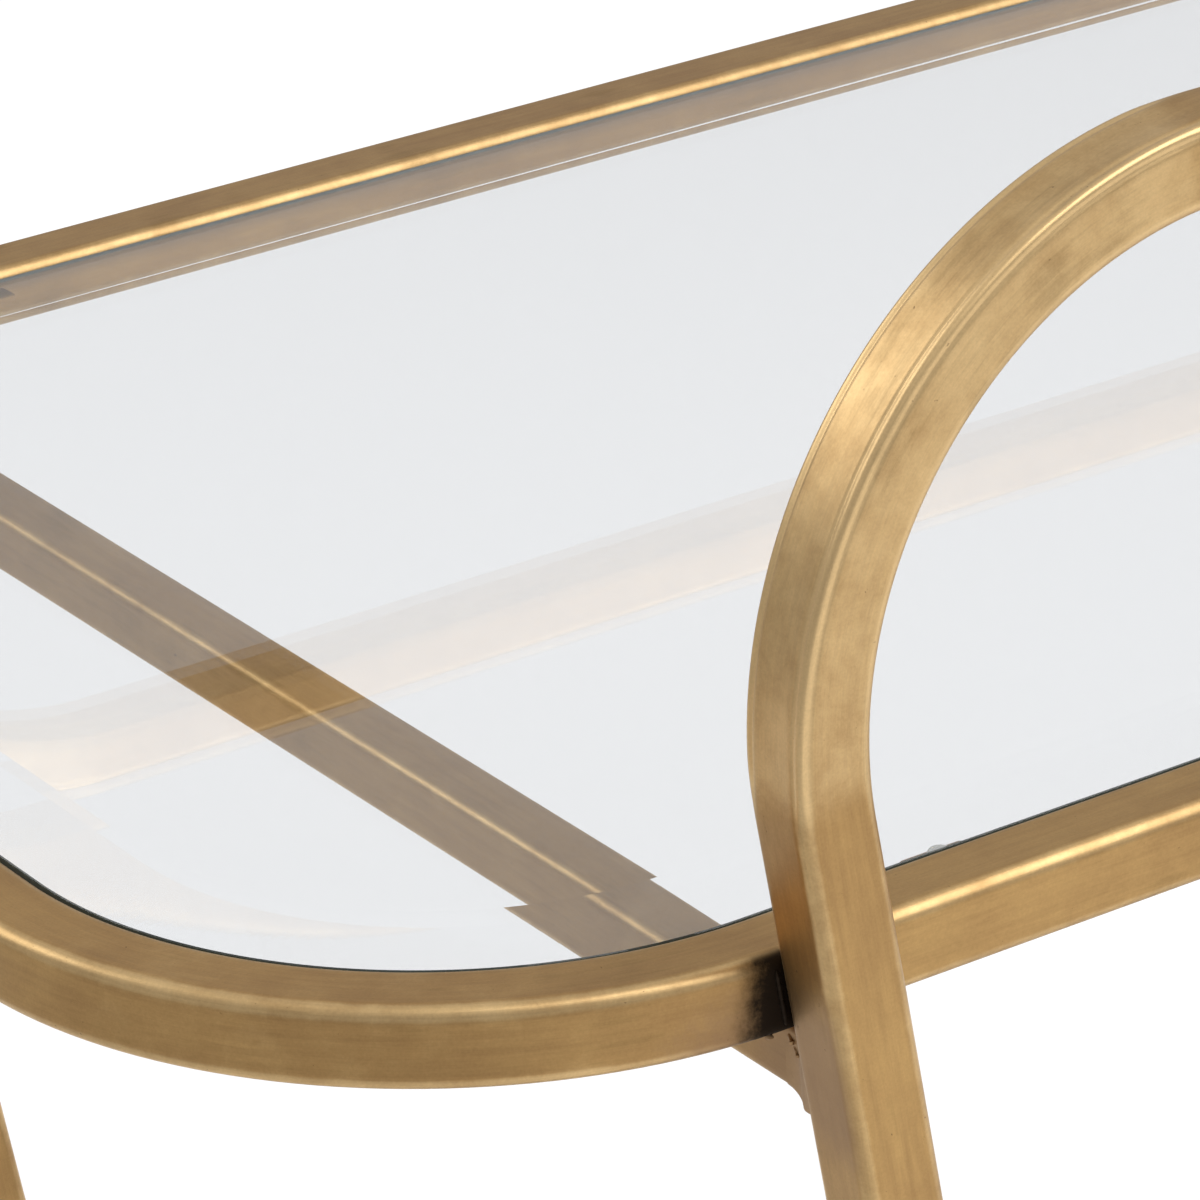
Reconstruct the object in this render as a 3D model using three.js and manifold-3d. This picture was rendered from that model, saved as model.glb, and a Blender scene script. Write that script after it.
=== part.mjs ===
// A two-tier bar cart on four swivel casters, in millimetres, +Z up, origin on the floor below its centre.
//
// Two hoops of bent square tube stand at the front and the back. Each rises from a pair of casters,
// leans outwards, bends over and runs straight along the top, where it is both handle and guard rail.
// Between the hoops hang two glass shelves. A shelf is a ring of the same tube with round corners, welded
// to the inner faces of the hoops where its corners end, and carried there by two thinner cross bars.
// Small tabs inside the ring carry soft bumpers, and a bevelled glass panel lies on those and lifts out.
// Each leg ends in a plate with a threaded bush that takes the stem of a caster. The two left casters
// have brake pedals.

import * as THREE from "three";
import { mergeVertices } from "three/addons/utils/BufferGeometryUtils.js";
import Module from "manifold-3d";

const wasm = await Module();
wasm.setup();

// ---- Driving dimensions -------------------------------------------------------------------------------

const TUBE = 20; // square tube of the hoops and shelf rings
const TUBE_WALL = 1.5;
const TUBE_CORNER = 3.6; // outside radius of the tube's own long edges
const BAR = 16; // square tube of the cross bars
const BAR_WALL = 1.2;
const BAR_CORNER = 2.2;
const BAR_INSET = 0; // from the middle of a leg to the middle of the bar, inwards

const TOP_LENGTH = 920; // top shelf ring, outside
const SHELF_DEPTH = 470; // both shelf rings, outside
const SHELF_CORNER = 131; // outside radius of a ring's corners, in plan
const CORNER_OVERLAP = 6; // of a leg's outer face past the start of the ring's corner, at the ring's top
const TOP_SHELF_HEIGHT = 690; // floor to the top of the upper ring
const LOW_SHELF_HEIGHT = 215; // floor to the top of the lower ring

const HOOP_RISE = 170.2; // top of the upper ring to the top of the hoop
const HOOP_BEND = 117.5; // outside radius of the hoop's two bends
const LEG_LEAN = THREE.MathUtils.degToRad(9.6); // each leg leans outwards as it rises

const GLASS = 5; // thickness of a panel
const GLASS_RECESS = 0.8; // its top lies this far below the top of its ring
const GLASS_GAP = 1.2; // all round, inside its ring
const BEVEL_WIDTH = 26;
const BEVEL_DROP = 0.85;

const TAB_LENGTH = 18; // along the ring
const TAB_REACH = 8; // from the inner face of the ring
const TAB = 2;
const TAB_FROM_CORNER = 57; // from where a ring's corner starts to the middle of the next tab
const BUMPER_RADIUS = 3;
const BUMPER = 1.6;

const WHEEL_RADIUS = 25;
const WHEEL_WIDTH = 20;
const RIM_RADIUS = 17; // where the tyre sits on the hub
const TRAIL = 18; // from the swivel axis back to the axle
const AXLE_RADIUS = 3;
const STEM_RADIUS = 4;
const STEM_LENGTH = 12; // threaded into the leg
const FORK_SHEET = 2.5;
const FORK_ROOM = 5; // from the top of the wheel to the top of the fork
const HEAD_HEIGHT = 6; // turning half of the swivel head, above the fork
const CAP_HEIGHT = 9; // fixed half of the swivel head, up to the seat of the stem
const HEAD_RADIUS = 15; // swivel head
const PEDAL_LOBE = 5.2; // from the pedal's pivot to the tip that presses on the tyre
const PEDAL_TRAVEL = THREE.MathUtils.degToRad(30);
const PEDAL_RADIUS = 2; // of the pedal's pivot
const END_PLATE = 3;
const BUSH_WALL = 1.5; // round the bush's bore
const BUSH_HEIGHT = 10; // above the end plate's underside
const DRAIN_RADIUS = 2; // vent and drain hole of a closed ring

// ---- Clearances ---------------------------------------------------------------------------------------

const WELD_GAP = 0.3; // between faces that are welded together
const REST_GAP = 0.2; // between faces that lie on each other
const RUN_GAP = 0.1; // round a shaft that turns in its hole
const FACE_GAP = 0.25; // between faces that turn past each other
const BRAKE_GAP = 0.4; // left between the pressed pedal's tip and the tyre
const SIDE_GAP = 1.5; // between a wheel and its fork

// ---- Facets -------------------------------------------------------------------------------------------

const BEND_STEPS = 14; // of a hoop's bend
const CORNER_STEPS = 9; // of a ring's corner
const EDGE_STEPS = 2; // of a tube's rounded long edge
const ROUND = 24; // of a wheel
const SMALL_ROUND = 16; // of a small turned piece

// ---- Derived places -----------------------------------------------------------------------------------

const OVERHANG = SHELF_CORNER - CORNER_OVERLAP; // from a ring's end to the outer face of the leg
const HOOP_Y = SHELF_DEPTH / 2 + WELD_GAP + TUBE / 2; // middle plane of a hoop
const ARCH_Z = TOP_SHELF_HEIGHT + HOOP_RISE - HOOP_BEND; // centre of a bend
// The bend's centre is where the leg's outer face meets the overhang at the top of the upper ring.
const ARCH_X =
  TOP_LENGTH / 2 -
  OVERHANG -
  HOOP_BEND * Math.cos(LEG_LEAN) +
  (ARCH_Z - HOOP_BEND * Math.sin(LEG_LEAN) - TOP_SHELF_HEIGHT) * Math.tan(LEG_LEAN);
const FORK_TOP = 2 * WHEEL_RADIUS + FORK_ROOM; // upper face of the fork's top sheet
const HEAD_TOP = FORK_TOP + HEAD_HEIGHT;
const CASTER_HEIGHT = HEAD_TOP + CAP_HEIGHT; // floor to the seat of the stem
const PLATE_Z = CASTER_HEIGHT + REST_GAP; // underside of a leg's end plate
const LEG_END_Z = PLATE_Z + END_PLATE + WELD_GAP;

/** Distance from the cart's middle to the leg's face that continues a bend of this radius, at a height. */
function legX(radius, z) {
  const bendEndZ = ARCH_Z - radius * Math.sin(LEG_LEAN);
  return ARCH_X + radius * Math.cos(LEG_LEAN) - (bendEndZ - z) * Math.tan(LEG_LEAN);
}

/** Middle of the leg at a height. */
const legCentreX = (z) => (legX(HOOP_BEND, z) + legX(HOOP_BEND - TUBE, z)) / 2;

const LOW_LENGTH = 2 * (legX(HOOP_BEND, LOW_SHELF_HEIGHT) + OVERHANG);

// ---- Materials ----------------------------------------------------------------------------------------

const material = (color, roughness, metalness, extra = {}) =>
  new THREE.MeshStandardMaterial({ color, roughness, metalness, ...extra });

const AGED_BRASS = material(0xb08a4e, 0.38, 1);
const GLASS_CLEAR = material(0xe6f0ec, 0.03, 0, { transparent: true, opacity: 0.3 });
const SILICONE = material(0xe9e9e2, 0.5, 0);
const RUBBER = material(0x1d1c1b, 0.8, 0);
const HUB_PLASTIC = material(0x2a2826, 0.5, 0);
const STEEL = material(0x9a9a98, 0.35, 1);

// ---- Tools --------------------------------------------------------------------------------------------

/** A closed three.js geometry as a solid that can be cut and joined. */
function solid(geometry) {
  const bare = geometry.index ? geometry.toNonIndexed() : geometry.clone();
  bare.deleteAttribute("normal");
  bare.deleteAttribute("uv");
  const merged = mergeVertices(bare, 1e-4);
  return new wasm.Manifold(
    new wasm.Mesh({
      numProp: 3,
      vertProperties: merged.attributes.position.array,
      triVerts: new Uint32Array(merged.index.array),
    }),
  );
}

/** A solid back as a three.js geometry. */
function geometry(shape) {
  const mesh = shape.getMesh();
  const points = new Float32Array(mesh.numVert * 3);
  for (let i = 0; i < mesh.numVert; i++) {
    points.set(mesh.vertProperties.subarray(i * mesh.numProp, i * mesh.numProp + 3), i * 3);
  }
  const made = new THREE.BufferGeometry();
  made.setAttribute("position", new THREE.BufferAttribute(points, 3));
  made.setIndex(new THREE.BufferAttribute(mesh.triVerts, 1));
  made.computeVertexNormals();
  return made;
}

/** Points of an arc in the plane, both ends included. */
function arc(x, y, radius, from, to, steps) {
  return Array.from({ length: steps + 1 }, (_, i) => {
    const angle = from + ((to - from) * i) / steps;
    return new THREE.Vector2(x + radius * Math.cos(angle), y + radius * Math.sin(angle));
  });
}

/** Outline of a rectangle with round corners, centred on the origin. */
function roundedRectangle(length, width, radius, steps) {
  const x = length / 2 - radius;
  const y = width / 2 - radius;
  const quarter = Math.PI / 2;
  return [
    ...arc(x, y, radius, 0, quarter, steps),
    ...arc(-x, y, radius, quarter, 2 * quarter, steps),
    ...arc(-x, -y, radius, 2 * quarter, 3 * quarter, steps),
    ...arc(x, -y, radius, 3 * quarter, 4 * quarter, steps),
  ];
}

/** An outline extruded from z 0 to a thickness, its long edges rounded by `edge` if that is given. */
function extruded(outline, thickness, edge = 0, hole = null) {
  const shape = new THREE.Shape(outline);
  if (hole) shape.holes.push(new THREE.Path(hole));
  const made = new THREE.ExtrudeGeometry(shape, {
    depth: thickness - 2 * edge,
    bevelEnabled: edge > 0,
    bevelThickness: edge,
    bevelSize: edge,
    bevelOffset: -edge,
    bevelSegments: EDGE_STEPS,
  });
  return made.translate(0, 0, edge);
}

/** A profile of [radius, height] pairs turned about Z. */
function turned(profile, segments) {
  const points = profile.map(([radius, height]) => new THREE.Vector2(radius, height));
  return new THREE.LatheGeometry(points, segments).rotateX(Math.PI / 2);
}

const box = (x, y, z) => new THREE.BoxGeometry(x, y, z);
/** An upright round bar, its lower end at z 0. */
const rod = (radius, height, segments = SMALL_ROUND) =>
  new THREE.CylinderGeometry(radius, radius, height, segments)
    .rotateX(Math.PI / 2)
    .translate(0, 0, height / 2);
/** A round bar along Y, centred on the origin. */
const crossRod = (radius, length, segments = SMALL_ROUND) =>
  new THREE.CylinderGeometry(radius, radius, length, segments);

const cart = new THREE.Group();

/** Adds one named piece. */
function piece(name, shape, finish, x = 0, y = 0, z = 0, turn = 0) {
  const mesh = new THREE.Mesh(shape, finish);
  mesh.name = name;
  mesh.position.set(x, y, z);
  mesh.rotation.z = turn;
  cart.add(mesh);
}

// ---- Hoops --------------------------------------------------------------------------------------------

/** Outline of a hoop seen from the front, drawn `inset` inside its faces, the legs running to a height. */
function hoopOutline(inset, bottom) {
  const outer = HOOP_BEND - inset;
  const inner = HOOP_BEND - TUBE + inset;
  const up = Math.PI / 2;
  return [
    new THREE.Vector2(legX(outer, bottom), bottom),
    ...arc(ARCH_X, ARCH_Z, outer, -LEG_LEAN, up, BEND_STEPS),
    ...arc(-ARCH_X, ARCH_Z, outer, up, Math.PI + LEG_LEAN, BEND_STEPS),
    new THREE.Vector2(-legX(outer, bottom), bottom),
    new THREE.Vector2(-legX(inner, bottom), bottom),
    ...arc(-ARCH_X, ARCH_Z, inner, Math.PI + LEG_LEAN, up, BEND_STEPS),
    ...arc(ARCH_X, ARCH_Z, inner, up, -LEG_LEAN, BEND_STEPS),
    new THREE.Vector2(legX(inner, bottom), bottom),
  ];
}

/** One bent square tube, hollow, its two legs cut level above the end plates. */
function hoopGeometry() {
  const spare = 2 * TUBE; // drawn longer, then cut level
  const skin = solid(extruded(hoopOutline(0, LEG_END_Z - spare), TUBE, TUBE_CORNER));
  const hollow = solid(
    extruded(hoopOutline(TUBE_WALL, LEG_END_Z - 2 * spare), TUBE - 2 * TUBE_WALL).translate(0, 0, TUBE_WALL),
  );
  const belowLegs = solid(
    box(TOP_LENGTH, 3 * spare, 4 * spare).translate(0, LEG_END_Z - 1.5 * spare, 0),
  );
  const upright = geometry(skin.subtract(hollow).subtract(belowLegs));
  return upright.translate(0, 0, -TUBE / 2).rotateX(Math.PI / 2);
}

const hoop = hoopGeometry();
piece("front_hoop", hoop, AGED_BRASS, 0, -HOOP_Y, 0);
piece("back_hoop", hoop, AGED_BRASS, 0, HOOP_Y, 0);

// ---- Shelves ------------------------------------------------------------------------------------------

/** Outline of a shelf ring, drawn `inset` inside its outer face. */
const ringOutline = (length, inset) =>
  roundedRectangle(length - 2 * inset, SHELF_DEPTH - 2 * inset, SHELF_CORNER - inset, CORNER_STEPS);

/** A closed ring of square tube with a drain hole in its underside, its lower face at z 0. */
function ringGeometry(length) {
  const skin = solid(extruded(ringOutline(length, 0), TUBE, TUBE_CORNER, ringOutline(length, TUBE)));
  const hollow = solid(
    extruded(
      ringOutline(length, TUBE_WALL),
      TUBE - 2 * TUBE_WALL,
      0,
      ringOutline(length, TUBE - TUBE_WALL),
    ).translate(0, 0, TUBE_WALL),
  );
  const drain = solid(
    rod(DRAIN_RADIUS, TUBE / 2, 12).translate(0, (SHELF_DEPTH - TUBE) / 2, -TUBE / 4),
  );
  return geometry(skin.subtract(hollow).subtract(drain));
}

/** A glass panel whose upper edge falls away in a wide shallow bevel, its lower face at z 0. */
function glassGeometry(length) {
  const inset = TUBE + GLASS_GAP;
  const outline = ringOutline(length, inset);
  const both = new THREE.ExtrudeGeometry(new THREE.Shape(outline), {
    depth: 2 * (GLASS - BEVEL_DROP),
    bevelThickness: BEVEL_DROP,
    bevelSize: BEVEL_WIDTH,
    bevelOffset: -BEVEL_WIDTH,
    bevelSegments: 1,
  }).translate(0, 0, -(GLASS - BEVEL_DROP));
  const lowerHalf = solid(box(length, SHELF_DEPTH, 4 * GLASS).translate(0, 0, -2 * GLASS));
  return geometry(solid(both).subtract(lowerHalf));
}

/** A straight cross bar between the two hoops, hollow, centred, its upper face at z 0. */
function crossBarGeometry() {
  const length = SHELF_DEPTH; // the hoops stand WELD_GAP beyond each end
  const skin = roundedRectangle(BAR, BAR, BAR_CORNER, EDGE_STEPS);
  const bore = BAR - 2 * BAR_WALL;
  const hole = roundedRectangle(bore, bore, BAR_CORNER - BAR_WALL, 1);
  return extruded(skin, length, 0, hole)
    .translate(0, 0, -length / 2)
    .rotateX(Math.PI / 2)
    .translate(0, 0, -BAR / 2);
}

/** A soft disc with a domed rim, its lower face at z 0. */
const bumperGeometry = () =>
  turned(
    [
      [0, 0],
      [BUMPER_RADIUS, 0],
      [BUMPER_RADIUS, BUMPER * 0.4],
      [BUMPER_RADIUS * 0.75, BUMPER],
      [0, BUMPER],
    ],
    12,
  );

const crossBar = crossBarGeometry();
const tab = box(TAB_LENGTH, TAB_REACH, TAB);
const bumper = bumperGeometry();

/** Where a ring's tabs go: [name, x, y, turn]. Two stand on each long rail and one on each end. */
function tabPlaces(length) {
  const inset = TUBE + WELD_GAP + TAB_REACH / 2;
  const spread = length / 2 - SHELF_CORNER - TAB_FROM_CORNER;
  const y = SHELF_DEPTH / 2 - inset;
  const x = length / 2 - inset;
  return [
    ["front_left", -spread, -y, 0],
    ["front_right", spread, -y, 0],
    ["back_left", -spread, y, 0],
    ["back_right", spread, y, 0],
    ["left_end", -x, 0, Math.PI / 2],
    ["right_end", x, 0, Math.PI / 2],
  ];
}

/** A ring, its cross bars, tabs, bumpers and glass panel, with the ring's upper face at a height. */
function addShelf(name, length, height) {
  const glassZ = height - GLASS_RECESS - GLASS;
  const bumperZ = glassZ - REST_GAP - BUMPER;
  const tabZ = bumperZ - REST_GAP - TAB / 2;
  const barZ = height - TUBE - WELD_GAP;
  const barX = legCentreX(barZ - BAR / 2) - BAR_INSET;
  piece(`${name}_shelf_ring`, ringGeometry(length), AGED_BRASS, 0, 0, height - TUBE);
  piece(`${name}_cross_bar_left`, crossBar, AGED_BRASS, -barX, 0, barZ);
  piece(`${name}_cross_bar_right`, crossBar, AGED_BRASS, barX, 0, barZ);
  for (const [place, x, y, turn] of tabPlaces(length)) {
    piece(`${name}_tab_${place}`, tab, AGED_BRASS, x, y, tabZ, turn);
    piece(`${name}_bumper_${place}`, bumper, SILICONE, x, y, bumperZ);
  }
  piece(`${name}_glass`, glassGeometry(length), GLASS_CLEAR, 0, 0, glassZ);
}

addShelf("top", TOP_LENGTH, TOP_SHELF_HEIGHT);
addShelf("low", LOW_LENGTH, LOW_SHELF_HEIGHT);

// ---- Casters ------------------------------------------------------------------------------------------
// Each caster's pieces are drawn about its swivel axis, with the floor at z 0 and the wheel trailing
// towards -X.

const FORK_INSIDE = WHEEL_WIDTH / 2 + SIDE_GAP;
const FORK_OUTSIDE = FORK_INSIDE + FORK_SHEET;
const AXLE_Z = WHEEL_RADIUS;
// The pedal pivots behind the top of the wheel, just so far off that its pressed tip meets the tyre.
const PEDAL_BEARING = THREE.MathUtils.degToRad(120); // of the pivot about the axle, from +X towards +Z
const PEDAL_OFF = WHEEL_RADIUS + BRAKE_GAP + PEDAL_LOBE;
const PEDAL_X = -TRAIL + PEDAL_OFF * Math.cos(PEDAL_BEARING);
const PEDAL_Z = AXLE_Z + PEDAL_OFF * Math.sin(PEDAL_BEARING);

/** Plate under a leg, with the bush that takes the stem, its lower face at z 0 and the stem's axis at x 0. */
function endPlateGeometry() {
  const plate = extruded(
    roundedRectangle(TUBE / Math.cos(LEG_LEAN), TUBE, TUBE_CORNER, EDGE_STEPS),
    END_PLATE,
  );
  const bush = solid(rod(STEM_RADIUS + RUN_GAP + BUSH_WALL, BUSH_HEIGHT));
  const bore = solid(rod(STEM_RADIUS + RUN_GAP, BUSH_HEIGHT + 2).translate(0, 0, -1));
  // The bush keeps clear of the walls of the leaning tube that it stands in.
  const inside = TUBE - 2 * TUBE_WALL - 2 * WELD_GAP;
  const legSpace = box(inside / Math.cos(LEG_LEAN), inside, 4 * BUSH_HEIGHT);
  legSpace.applyMatrix4(new THREE.Matrix4().makeShear(0, 0, 0, 0, Math.tan(LEG_LEAN), 0));
  return geometry(solid(plate).add(bush.intersect(solid(legSpace))).subtract(bore));
}

/** Stem, hexagon, fixed half of the swivel head and the kingpin that the fork turns on, all in one piece. */
function stemGeometry() {
  const hexTop = CASTER_HEIGHT;
  const hexBottom = HEAD_TOP + 4.5;
  const capBottom = HEAD_TOP + FACE_GAP;
  const rivetTop = FORK_TOP - FORK_SHEET - FACE_GAP;
  const body = turned(
    [
      [0, rivetTop - 2.2],
      [5.5, rivetTop - 2.2],
      [6.5, rivetTop - 1],
      [6.5, rivetTop],
      [STEM_RADIUS, rivetTop],
      [STEM_RADIUS, capBottom],
      [HEAD_RADIUS + 1, capBottom],
      [HEAD_RADIUS + 1, capBottom + 2],
      [HEAD_RADIUS - 3, hexBottom],
      [STEM_RADIUS, hexBottom],
      [STEM_RADIUS, hexTop + STEM_LENGTH - 0.8],
      [STEM_RADIUS - 0.8, hexTop + STEM_LENGTH],
      [0, hexTop + STEM_LENGTH],
    ],
    SMALL_ROUND,
  );
  const hex = rod(7.2, hexTop - hexBottom + 0.5, 6).translate(0, 0, hexBottom - 0.5);
  return geometry(solid(body).add(solid(hex)));
}

/** Side of the fork, seen from the front: down from the top sheet to a round end about the axle. */
function forkSide() {
  const end = 7.5;
  const start = Math.PI * 0.93;
  const stop = Math.PI * 2.12;
  return [
    new THREE.Vector2(HEAD_RADIUS - 2, FORK_TOP - 5),
    new THREE.Vector2(HEAD_RADIUS - 2, FORK_TOP),
    new THREE.Vector2(PEDAL_X - 3, FORK_TOP),
    new THREE.Vector2(PEDAL_X - 5, FORK_TOP - 3),
    new THREE.Vector2(PEDAL_X - 4, FORK_TOP - 9),
    ...arc(-TRAIL, AXLE_Z, end, start, stop, 7),
  ];
}

/** U-shaped fork with the turning half of the swivel head on top. */
function forkGeometry() {
  const side = extruded(forkSide(), FORK_SHEET).rotateX(Math.PI / 2);
  const nearSide = solid(side.clone().translate(0, -FORK_INSIDE, 0));
  const farSide = solid(side.clone().translate(0, FORK_OUTSIDE, 0));
  const topLength = HEAD_RADIUS - 2 - (PEDAL_X + 10);
  const top = solid(
    box(topLength, 2 * FORK_OUTSIDE, FORK_SHEET).translate(
      HEAD_RADIUS - 2 - topLength / 2,
      0,
      FORK_TOP - FORK_SHEET / 2,
    ),
  );
  const head = solid(
    turned(
      [
        [0, FORK_TOP - 1],
        [HEAD_RADIUS - 1.5, FORK_TOP - 1],
        [HEAD_RADIUS, FORK_TOP + 1.5],
        [HEAD_RADIUS, HEAD_TOP],
        [0, HEAD_TOP],
      ],
      SMALL_ROUND,
    ),
  );
  const kingpinHole = solid(rod(STEM_RADIUS + RUN_GAP, CASTER_HEIGHT));
  const axleHole = solid(crossRod(AXLE_RADIUS + REST_GAP, 4 * FORK_OUTSIDE).translate(-TRAIL, 0, AXLE_Z));
  const pedalHole = solid(
    crossRod(PEDAL_RADIUS + RUN_GAP, 4 * FORK_OUTSIDE, 12).translate(PEDAL_X, 0, PEDAL_Z),
  );
  const joined = nearSide.add(farSide).add(top).add(head);
  return geometry(joined.subtract(kingpinHole).subtract(axleHole).subtract(pedalHole));
}

/** Wheel core with dished sides, about the axle at the origin. */
function hubGeometry() {
  const half = WHEEL_WIDTH / 2;
  const bore = AXLE_RADIUS + RUN_GAP;
  const profile = [
    [bore, -half - SIDE_GAP + FACE_GAP],
    [bore + 3, -half - SIDE_GAP + FACE_GAP],
    [bore + 3, -half + 3],
    [RIM_RADIUS - 2.5, -half + 3],
    [RIM_RADIUS - 2, -half + 0.5],
    [RIM_RADIUS, -half + 0.5],
    [RIM_RADIUS, half - 0.5],
    [RIM_RADIUS - 2, half - 0.5],
    [RIM_RADIUS - 2.5, half - 3],
    [bore + 3, half - 3],
    [bore + 3, half + SIDE_GAP - FACE_GAP],
    [bore, half + SIDE_GAP - FACE_GAP],
    [bore, -half - SIDE_GAP + FACE_GAP],
  ];
  return new THREE.LatheGeometry(
    profile.map(([radius, along]) => new THREE.Vector2(radius, along)),
    ROUND,
  );
}

/** Tyre with round shoulders, about the axle at the origin. */
function tyreGeometry() {
  const half = WHEEL_WIDTH / 2;
  const inside = RIM_RADIUS + REST_GAP;
  const shoulder = 3;
  const quarter = Math.PI / 2;
  const profile = [
    new THREE.Vector2(inside, -half),
    ...arc(WHEEL_RADIUS - shoulder, -half + shoulder, shoulder, -quarter, 0, 3),
    ...arc(WHEEL_RADIUS - shoulder, half - shoulder, shoulder, 0, quarter, 3),
    new THREE.Vector2(inside, half),
    new THREE.Vector2(inside, -half),
  ];
  return new THREE.LatheGeometry(profile, ROUND);
}

/** Axle bolt with its head and nut outside the fork, centred on the origin, along Y. */
function axleGeometry() {
  const shaft = solid(crossRod(AXLE_RADIUS, 2 * (FORK_OUTSIDE + 3)));
  const headY = FORK_OUTSIDE + REST_GAP + 1.5;
  const head = solid(crossRod(5.2, 3).translate(0, -headY, 0));
  const nut = solid(crossRod(5.4, 3, 6).translate(0, headY, 0));
  return geometry(shaft.add(head).add(nut));
}

/** Brake pedal at rest, seen from the front and drawn about its pivot: lobe below, foot plate behind. */
function pedalGeometry() {
  const width = 2 * (FORK_INSIDE - 1);
  // Pressing the pedal turns the lobe's tip by the travel, until it points straight at the axle.
  const tip = PEDAL_BEARING + Math.PI - PEDAL_TRAVEL;
  const lobe = (turn, share) =>
    new THREE.Vector2(
      share * PEDAL_LOBE * Math.cos(tip + turn),
      share * PEDAL_LOBE * Math.sin(tip + turn),
    );
  const outline = [
    new THREE.Vector2(4, 2.4),
    new THREE.Vector2(0, 3.8),
    new THREE.Vector2(-10, 2.2),
    new THREE.Vector2(-26, 5.6),
    new THREE.Vector2(-27.5, 3.2),
    new THREE.Vector2(-11, -1.4),
    new THREE.Vector2(-6, -2.6),
    lobe(-0.5, 0.94),
    lobe(0, 1),
    lobe(0.5, 0.92),
    new THREE.Vector2(4, -0.6),
  ];
  const lever = solid(extruded(outline, width).translate(0, 0, -width / 2).rotateX(Math.PI / 2));
  const trunnions = solid(crossRod(PEDAL_RADIUS, 2 * (FORK_OUTSIDE - 0.2), 12));
  return geometry(lever.add(trunnions));
}

const endPlate = endPlateGeometry();
const stem = stemGeometry();
const fork = forkGeometry();
const hub = hubGeometry();
const tyre = tyreGeometry();
const axle = axleGeometry();
const pedal = pedalGeometry();

/** One caster under the leg on that side of the cart's middle: side -1 is left, row -1 is front. */
function addCaster(name, side, row, braked) {
  const x = side * legCentreX(LEG_END_Z);
  const y = row * HOOP_Y;
  piece(`leg_end_plate_${name}`, endPlate, AGED_BRASS, x, y, PLATE_Z);
  piece(`caster_stem_${name}`, stem, STEEL, x, y, 0);
  piece(`caster_fork_${name}`, fork, AGED_BRASS, x, y, 0);
  piece(`caster_axle_${name}`, axle, STEEL, x - TRAIL, y, AXLE_Z);
  piece(`wheel_hub_${name}`, hub, HUB_PLASTIC, x - TRAIL, y, AXLE_Z);
  piece(`wheel_tyre_${name}`, tyre, RUBBER, x - TRAIL, y, AXLE_Z);
  if (braked) piece(`brake_pedal_${name}`, pedal, AGED_BRASS, x + PEDAL_X, y, PEDAL_Z);
}

addCaster("front_left", -1, -1, true);
addCaster("front_right", 1, -1, false);
addCaster("back_left", -1, 1, true);
addCaster("back_right", 1, 1, false);

export default cart;
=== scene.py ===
"""Looks of a two-tier bar cart: aged brass tube, bevelled glass shelves and four swivel casters.

Sizes inside the classes are in millimetres, as on a workshop drawing. Meshes are made in metres, in the
cart's own frame: X along the shelves, Y from the front hoop to the back hoop, Z up from the floor.
"""

import logging
import math
import random
from abc import ABC, abstractmethod
from collections.abc import Sequence
from dataclasses import dataclass, field
from enum import Enum

import bmesh
import bpy
import numpy as np
from mathutils import Matrix, Vector


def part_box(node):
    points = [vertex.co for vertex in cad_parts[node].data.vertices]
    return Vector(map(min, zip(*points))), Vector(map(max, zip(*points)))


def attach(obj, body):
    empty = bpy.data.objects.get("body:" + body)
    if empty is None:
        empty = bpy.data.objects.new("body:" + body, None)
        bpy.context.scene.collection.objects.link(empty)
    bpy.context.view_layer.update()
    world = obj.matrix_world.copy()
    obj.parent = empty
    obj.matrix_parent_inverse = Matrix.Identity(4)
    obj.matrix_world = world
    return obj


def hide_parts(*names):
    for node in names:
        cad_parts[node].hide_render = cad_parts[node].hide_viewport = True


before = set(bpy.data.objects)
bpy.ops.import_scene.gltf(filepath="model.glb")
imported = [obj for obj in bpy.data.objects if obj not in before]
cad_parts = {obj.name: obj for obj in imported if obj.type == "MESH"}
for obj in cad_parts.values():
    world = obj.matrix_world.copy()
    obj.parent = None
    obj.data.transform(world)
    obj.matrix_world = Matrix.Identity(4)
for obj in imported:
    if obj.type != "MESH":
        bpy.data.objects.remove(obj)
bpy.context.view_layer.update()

MM = 0.001
Point = tuple[float, float]
Colour = tuple[float, float, float]
Spot = tuple[float, float, float]
Faces = list[tuple[int, ...]]
SHARP = math.radians(38)
QUARTER = math.pi / 2
log = logging.getLogger("bar_cart")


# ---- Shader building --------------------------------------------------------------------------------


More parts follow.
